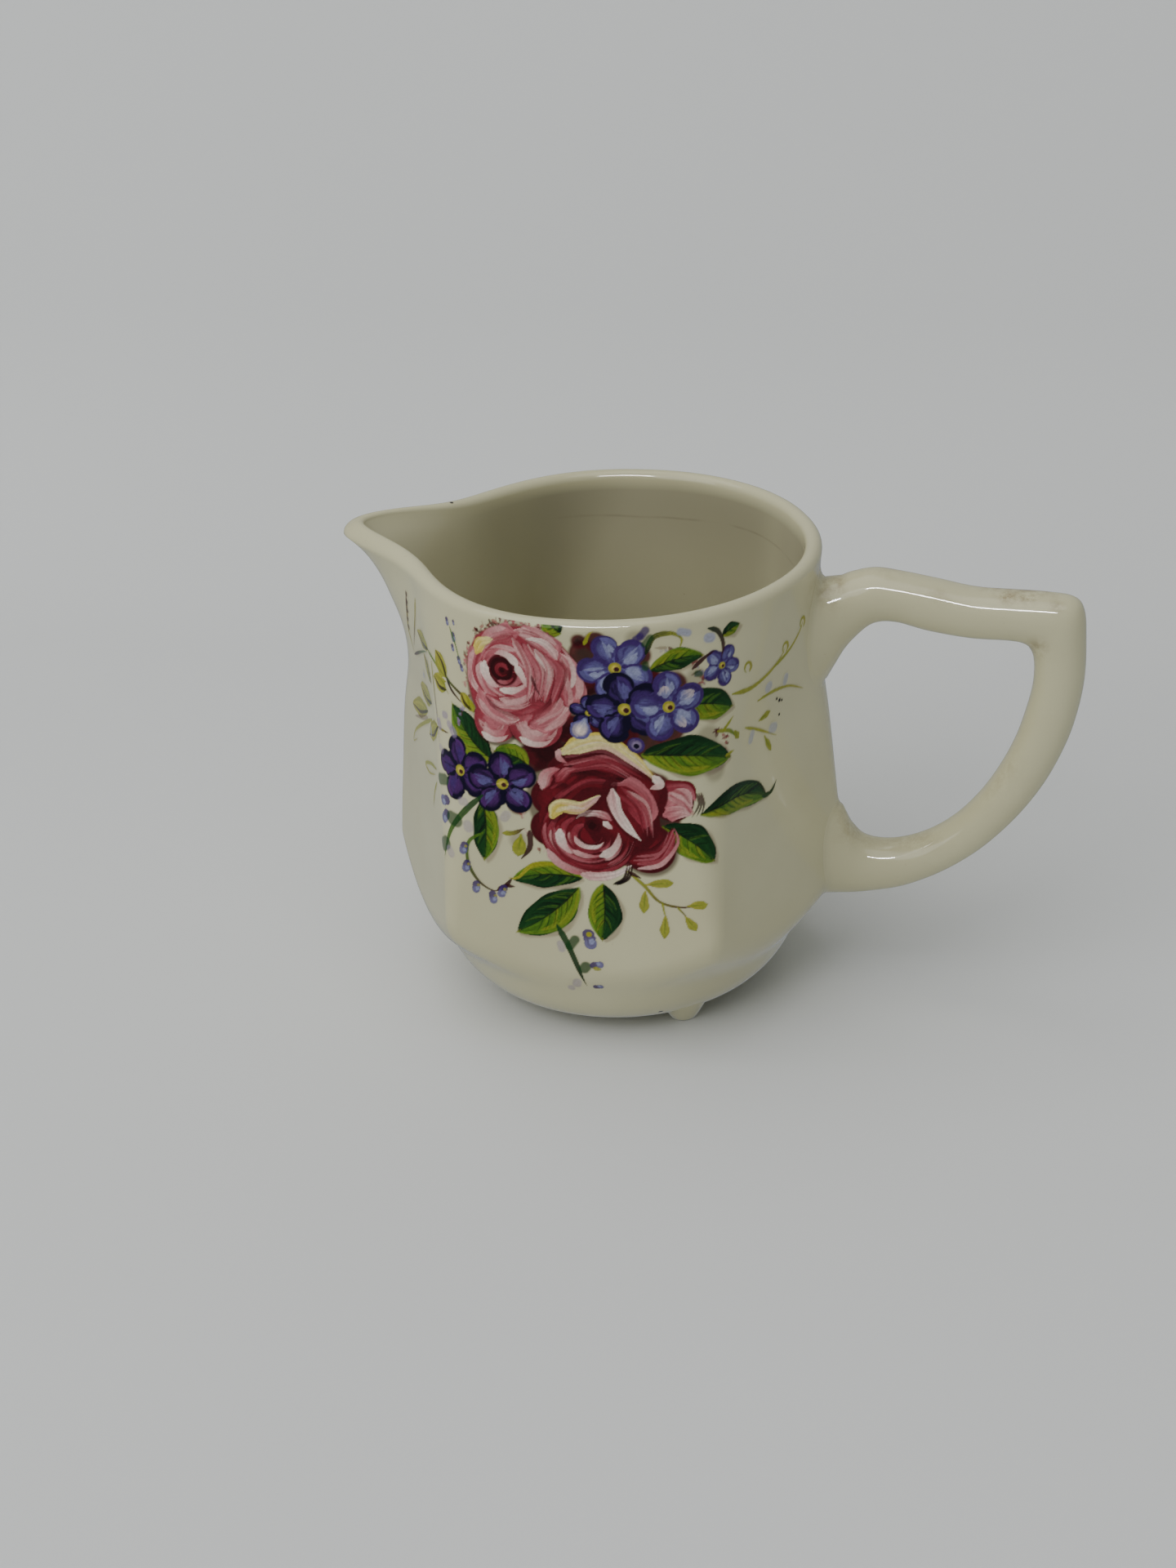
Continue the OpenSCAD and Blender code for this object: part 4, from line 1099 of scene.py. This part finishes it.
# ---------------------------------------------------------------- materials
class Nodes:
    """Short calls for building a node tree."""

    def __init__(self, material):
        material.use_nodes = True
        self.tree = material.node_tree
        self.shader = self.tree.nodes["Principled BSDF"]

    def add(self, kind, *numbered, **named):
        """A new node, with its first inputs in order and others by name."""
        node = self.tree.nodes.new(kind)
        for key, value in [*enumerate(numbered), *named.items()]:
            self.put(node, key, value)
        return node

    def put(self, node, key, value):
        """Links or sets one input of a node, by its name or its number."""
        socket = node.inputs[key]
        if isinstance(value, bpy.types.NodeSocket):
            self.tree.links.new(value, socket)
        elif socket.type == "RGBA":
            socket.default_value = (*value, 1)
        else:
            socket.default_value = value

    def position(self):
        """The place in metres of the point that is shaded."""
        return self.add("ShaderNodeNewGeometry").outputs["Position"]

    def noise(self, scale, detail=4, rough=0.55):
        """Cloudy noise about 0.5."""
        node = self.add("ShaderNodeTexNoise", Scale=scale, Detail=detail, Roughness=rough,
                        Vector=self.position())
        return node.outputs["Fac"]

    def span(self, value, low, high, to_low=0.0, to_high=1.0):
        """Maps the span from low to high onto another, and holds it at its ends."""
        return self.add("ShaderNodeMapRange", value, low, high, to_low, to_high).outputs["Result"]

    def maths(self, operation, a, b=0.0):
        """One sum on two numbers."""
        node = self.add("ShaderNodeMath", a, b)
        node.operation = operation
        return node.outputs["Value"]

    def mix(self, factor, a, b):
        """Colour a where the factor is 0, and colour b where it is 1."""
        node = self.add("ShaderNodeMix")
        node.data_type = "RGBA"
        for key, value in ((0, factor), (6, a), (7, b)):
            self.put(node, key, value)
        return node.outputs[2]

    def bump(self, height, strength, distance):
        """A surface normal that follows a height."""
        node = self.add("ShaderNodeBump", Strength=strength, Distance=distance, Height=height)
        return node.outputs["Normal"]


IVORY = (0.60, 0.572, 0.368)
IVORY_DEEP = (0.555, 0.522, 0.326)
# Colour of the painted shade inside the jug.
INSIDE_SHADE = (0.35, 0.327, 0.218)
GRIME = (0.235, 0.165, 0.08)
FRECKLE = (0.42, 0.36, 0.24)
SOOT = (0.035, 0.028, 0.02)
# How strongly the glaze and the prints reflect.
GLAZE_SHINE = 0.42
PRINT_SHINE = 0.22


def ivory_colour(n):
    """Ivory glaze: cloudy, with faint darker pin pricks."""
    cloud = n.span(n.noise(22, 3), 0.35, 0.65)
    base = n.mix(cloud, IVORY, IVORY_DEEP)
    freckle = n.span(n.noise(900, 2, 0.5), 0.70, 0.78, 0, 0.18)
    return n.mix(freckle, base, FRECKLE)


def gloss(n, level):
    """The shine that the glaze and the prints share, at a level of reflection."""
    n.put(n.shader, "Roughness", n.span(n.noise(300, 3), 0.3, 0.7, 0.05, 0.09))
    n.shader.inputs["Specular IOR Level"].default_value = level
    n.put(n.shader, "Normal", n.bump(n.noise(70, 2, 0.4), 0.06, 0.0005))


def spot(n, place, radius):
    """1 inside a small round spot at a place in millimetres and 0 outside it."""
    away = n.add("ShaderNodeVectorMath", n.position(), tuple(MM * c for c in place))
    away.operation = "DISTANCE"
    return n.span(away.outputs["Value"], 0.7 * radius * MM, 1.2 * radius * MM, 1, 0)


def hairline(n, inside):
    """A faint line round the inside of the back wall, a little below the rim."""
    place = n.add("ShaderNodeSeparateXYZ", Vector=n.position())
    wander = n.span(n.noise(28, 2), 0.3, 0.7, -0.0007, 0.0007)
    height = n.maths("ADD", place.outputs["Z"], wander)
    off = n.maths("ABSOLUTE", n.maths("SUBTRACT", height, HAIRLINE_Z * MM))
    line = n.span(off, 0.00005, 0.00035, 0.2, 0)
    broken = n.span(n.noise(60, 3), 0.42, 0.56)
    behind = n.span(place.outputs["Y"], 0.008, 0.02)
    return n.maths("MULTIPLY", n.maths("MULTIPLY", line, broken), n.maths("MULTIPLY", behind, inside))


def make_glaze():
    """Ivory glaze, darker inside as painted shade, with grime in its creases and black iron specks."""
    material = bpy.data.materials.new("ivory_glaze")
    n = Nodes(material)
    base = ivory_colour(n)
    inside = n.add("ShaderNodeAttribute")
    inside.attribute_name = "inside"
    stain = n.add("ShaderNodeAttribute")
    stain.attribute_name = "stain"
    # Painted shade: the inside attribute mixes the inside towards a darker colour.
    base = n.mix(inside.outputs["Fac"], base, INSIDE_SHADE)
    blotch = n.span(n.noise(330, 5, 0.75), 0.40, 0.62)
    grime = n.maths("MULTIPLY", stain.outputs["Fac"], blotch)
    base = n.mix(n.maths("MULTIPLY", grime, 0.85), base, GRIME)
    base = n.mix(hairline(n, inside.outputs["Fac"]), base, SOOT)
    speck = n.span(n.noise(260, 1, 0.3), 0.835, 0.85)
    for place, radius in SPECKS:
        speck = n.maths("MAXIMUM", speck, spot(n, place, radius))
    base = n.mix(speck, base, SOOT)
    n.put(n.shader, "Base Color", base)
    gloss(n, GLAZE_SHINE)
    return material


def make_print():
    """The fired colours, from the points of the skin, over the glaze's own ivory."""
    material = bpy.data.materials.new("transfer_colours")
    n = Nodes(material)
    paint = n.add("ShaderNodeVertexColor")
    paint.layer_name = "paint"
    screen = n.span(n.noise(1600, 2, 0.6), 0.3, 0.7, 0.86, 1.12)
    tint = n.add("ShaderNodeVectorMath", paint.outputs["Color"])
    tint.operation = "SCALE"
    n.put(tint, "Scale", screen)
    n.put(n.shader, "Base Color", n.mix(paint.outputs["Alpha"], ivory_colour(n), tint.outputs["Vector"]))
    gloss(n, PRINT_SHINE)
    return material


def add_values(piece, name, values):
    """A number on every point of a piece, for its material to read."""
    layer = piece.data.attributes.new(name, "FLOAT", "POINT")
    layer.data.foreach_set("value", np.asarray(values, np.float32))


def stain_values(piece, spots):
    """How stained each point is: a sum of soft spots, each a centre, reach and strength."""
    points = np.empty(len(piece.data.vertices) * 3)
    piece.data.vertices.foreach_get("co", points)
    points = points.reshape(-1, 3) / MM
    total = np.zeros(len(points))
    for centre, reach, strength in spots:
        away = ((points - np.array(centre)) / np.array(reach)) ** 2
        total = total + strength * np.exp(-away.sum(1))
    return np.minimum(total, 1)


# ---------------------------------------------------------------- prints laid on the body
def unrolled_angles(us, vs, middle):
    """For each height in vs, the angles about the axis at the distances us along the surface."""
    phi = np.linspace(middle - UNROLLED_HALF, middle + UNROLLED_HALF, UNROLLED_STEPS)
    rows = []
    for v in vs:
        points = outer_point(phi, min(v, LIP_Z))
        steps = np.hypot(np.diff(points[:, 0]), np.diff(points[:, 1]))
        along = np.concatenate([[0], np.cumsum(steps)])
        rows.append(np.interp(us, along - np.interp(middle, phi, along), phi))
    return np.array(rows)


def lay_print(sheet, name, middle, low, high, material):
    """A skin of fired paint on the body, only where there is paint, between two distances low
    and high from the middle of its panel."""
    us = sheet.low[0] + sheet.step * np.arange(sheet.size[0])
    vs = sheet.low[1] + sheet.step * np.arange(sheet.size[1])
    first, last = np.round((np.array([low, high]) - sheet.low[0]) / sheet.step).astype(int)
    columns = np.arange(max(first, 0), min(last + 1, len(us)))
    us = us[columns]
    cover = sheet.cover[:, columns]
    colour = sheet.colour[:, columns]
    points = skin_point(unrolled_angles(us, vs, middle), vs[:, None], PRINT_RISE)
    painted = cover > FAINTEST_PAINT
    near = painted.copy()
    near[1:] |= painted[:-1]
    near[:-1] |= painted[1:]
    near[:, 1:] |= near[:, :-1]
    near[:, :-1] |= near[:, 1:]
    cell = near[:-1, :-1] & near[1:, :-1] & near[:-1, 1:] & near[1:, 1:]
    index = np.arange(cover.size).reshape(cover.shape)
    quads = np.stack([index[:-1, :-1], index[:-1, 1:], index[1:, 1:], index[1:, :-1]], -1)[cell]
    used, faces = np.unique(quads, return_inverse=True)
    piece = make_object(name, points.reshape(-1, 3)[used], faces.reshape(-1, 4).tolist(), material)
    layer = piece.data.color_attributes.new("paint", "FLOAT_COLOR", "POINT")
    rgba = np.concatenate([colour.reshape(-1, 3)[used], cover.reshape(-1, 1)[used]], 1)
    layer.data.foreach_set("color", rgba.astype(np.float32).ravel())
    return piece


# ---------------------------------------------------------------- studio
# The sweep in millimetres: its front edge, where its rise starts, the bend's radius, how far the
# back sheet leans, its length, and half the width.
SWEEP_FRONT = -1400
SWEEP_START = 150
SWEEP_BEND = 130
SWEEP_LEAN = math.radians(62)
SWEEP_LENGTH = 1400
SWEEP_HALF = 1800
SWEEP_STEPS = 24
SWEEP_COLUMNS = 9
PAPER = (0.655, 0.665, 0.655)
PAPER_PALE = (0.69, 0.695, 0.685)

AIR = (0.91, 0.97, 1.03, 1)
AIR_STRENGTH = 0.31

# The camera in metres and degrees, as matched to the photograph.
CAMERA_PLACE = (0.06875, -0.4422, 0.2761)
CAMERA_PITCH = 27.37
CAMERA_YAW = -12.17
CAMERA_ROLL = -2.38
CAMERA_LENS = 54.375


def build_stage():
    """A pale sweep: floor, a short curved rise behind the jug and a leaning back sheet."""
    material = bpy.data.materials.new("studio_paper")
    n = Nodes(material)
    tone = n.span(n.noise(1.5, 3), 0.3, 0.7)
    n.put(n.shader, "Base Color", n.mix(tone, PAPER, PAPER_PALE))
    n.shader.inputs["Roughness"].default_value = 0.8
    n.shader.inputs["Specular IOR Level"].default_value = 0.2
    path = [(SWEEP_FRONT, 0.0), (SWEEP_START, 0.0)]
    for step in range(1, SWEEP_STEPS + 1):
        a = SWEEP_LEAN * step / SWEEP_STEPS
        path.append((SWEEP_START + SWEEP_BEND * math.sin(a), SWEEP_BEND - SWEEP_BEND * math.cos(a)))
    y, z = path[-1]
    path.append((y + SWEEP_LENGTH * math.cos(SWEEP_LEAN), z + SWEEP_LENGTH * math.sin(SWEEP_LEAN)))
    sides = np.linspace(-SWEEP_HALF, SWEEP_HALF, SWEEP_COLUMNS)
    points = [(x, y, z) for y, z in path for x in sides]
    faces = []
    for row in range(len(path) - 1):
        for column in range(SWEEP_COLUMNS - 1):
            a = row * SWEEP_COLUMNS + column
            faces.append([a, a + 1, a + 1 + SWEEP_COLUMNS, a + SWEEP_COLUMNS])
    sweep = make_object("studio_sweep", points, faces, material)
    sweep.visible_glossy = False


def area_light(name, place, target, size, power, colour):
    """A rectangular lamp at a place, turned to a target. Both are in metres."""
    light = bpy.data.lights.new(name, "AREA")
    light.shape = "RECTANGLE"
    light.size = size[0]
    light.size_y = size[1]
    light.energy = power
    light.color = colour
    lamp = bpy.data.objects.new(name, light)
    lamp.location = place
    direction = Vector(target) - Vector(place)
    lamp.rotation_euler = direction.to_track_quat("-Z", "Y").to_euler()
    bpy.context.scene.collection.objects.link(lamp)
    return lamp


def build_lights():
    """A long lamp in front that shows only as glints, a broad ceiling, a soft box at the front
    left, and pale air."""
    glints = area_light("lamp_for_glints", place=(0, -0.88, 0.93), target=(0.04, 0, 0.09),
                        size=(0.6, 0.085), power=17, colour=(1, 1, 0.98))
    glints.visible_diffuse = False
    area_light("ceiling", place=(-0.4, -0.35, 1.65), target=(0, 0, 0),
               size=(2.2, 1.8), power=20.5, colour=(1, 0.99, 0.97))
    area_light("softbox_front_left", place=(-0.8, -1.05, 0.85), target=(-0.1, -0.1, 0),
               size=(1.1, 0.9), power=7.0, colour=(0.98, 0.99, 1))
    world = bpy.data.worlds.new("studio_air")
    bpy.context.scene.world = world
    world.use_nodes = True
    background = world.node_tree.nodes["Background"]
    background.inputs["Color"].default_value = AIR
    background.inputs["Strength"].default_value = AIR_STRENGTH


def build_camera():
    """Camera at the photograph's viewpoint: in front, to the right and above, turned back left."""
    data = bpy.data.cameras.new("camera")
    data.sensor_fit = "AUTO"
    data.sensor_width = 36
    data.lens = CAMERA_LENS
    camera = bpy.data.objects.new("camera", data)
    pitch = math.radians(CAMERA_PITCH)
    yaw = math.radians(CAMERA_YAW)
    roll = math.radians(CAMERA_ROLL)
    forward = Vector((math.sin(yaw) * math.cos(pitch), math.cos(yaw) * math.cos(pitch), -math.sin(pitch)))
    level = Vector((math.cos(yaw), -math.sin(yaw), 0))
    up = level.cross(forward)
    right = math.cos(roll) * level + math.sin(roll) * up
    top = -math.sin(roll) * level + math.cos(roll) * up
    turn = Matrix((right, top, -forward)).transposed().to_4x4()
    camera.matrix_world = Matrix.Translation(CAMERA_PLACE) @ turn
    bpy.context.scene.collection.objects.link(camera)
    bpy.context.scene.camera = camera


def main():
    """The jug's pieces, then the stage, the lights and the camera."""
    glaze = make_glaze()
    body = build_body(glaze)
    handle = build_handle(glaze)
    feet = {name: build_foot("glazed_" + name, angle, glaze) for name, angle in FOOT_ANGLES.items()}
    pieces = {"jug_body": body, "handle": handle, **feet}
    for node, piece in pieces.items():
        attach(piece, "root")
        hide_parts(node)
    colours = make_print()
    front = Print(PRINT_REACH, PRINT_HEIGHTS, PRINT_STEP, seed=7)
    paint_bouquet(front)
    back = Print(BACK_REACH, BACK_HEIGHTS, PRINT_STEP, seed=11)
    paint_back_spray(back)
    prints = {}
    for node, name, sheet, middle, low, high in (
            ("front_bouquet_transfer", "printed_bouquet", front, 270, SPOUT_EDGE, HANDLE_EDGE),
            ("spout_side_transfer", "printed_spout_spray", front, 270, -PRINT_REACH, SPOUT_EDGE),
            ("handle_side_transfer", "printed_handle_tendrils", front, 270, HANDLE_EDGE, PRINT_REACH),
            ("back_spray_transfer", "printed_back_spray", back, 90, -BACK_REACH, BACK_REACH)):
        prints[node] = lay_print(sheet, name, math.radians(middle), low, high, colours)
    for node, piece in prints.items():
        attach(piece, "root")
        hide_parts(node)
    build_stage()
    build_lights()
    build_camera()


main()
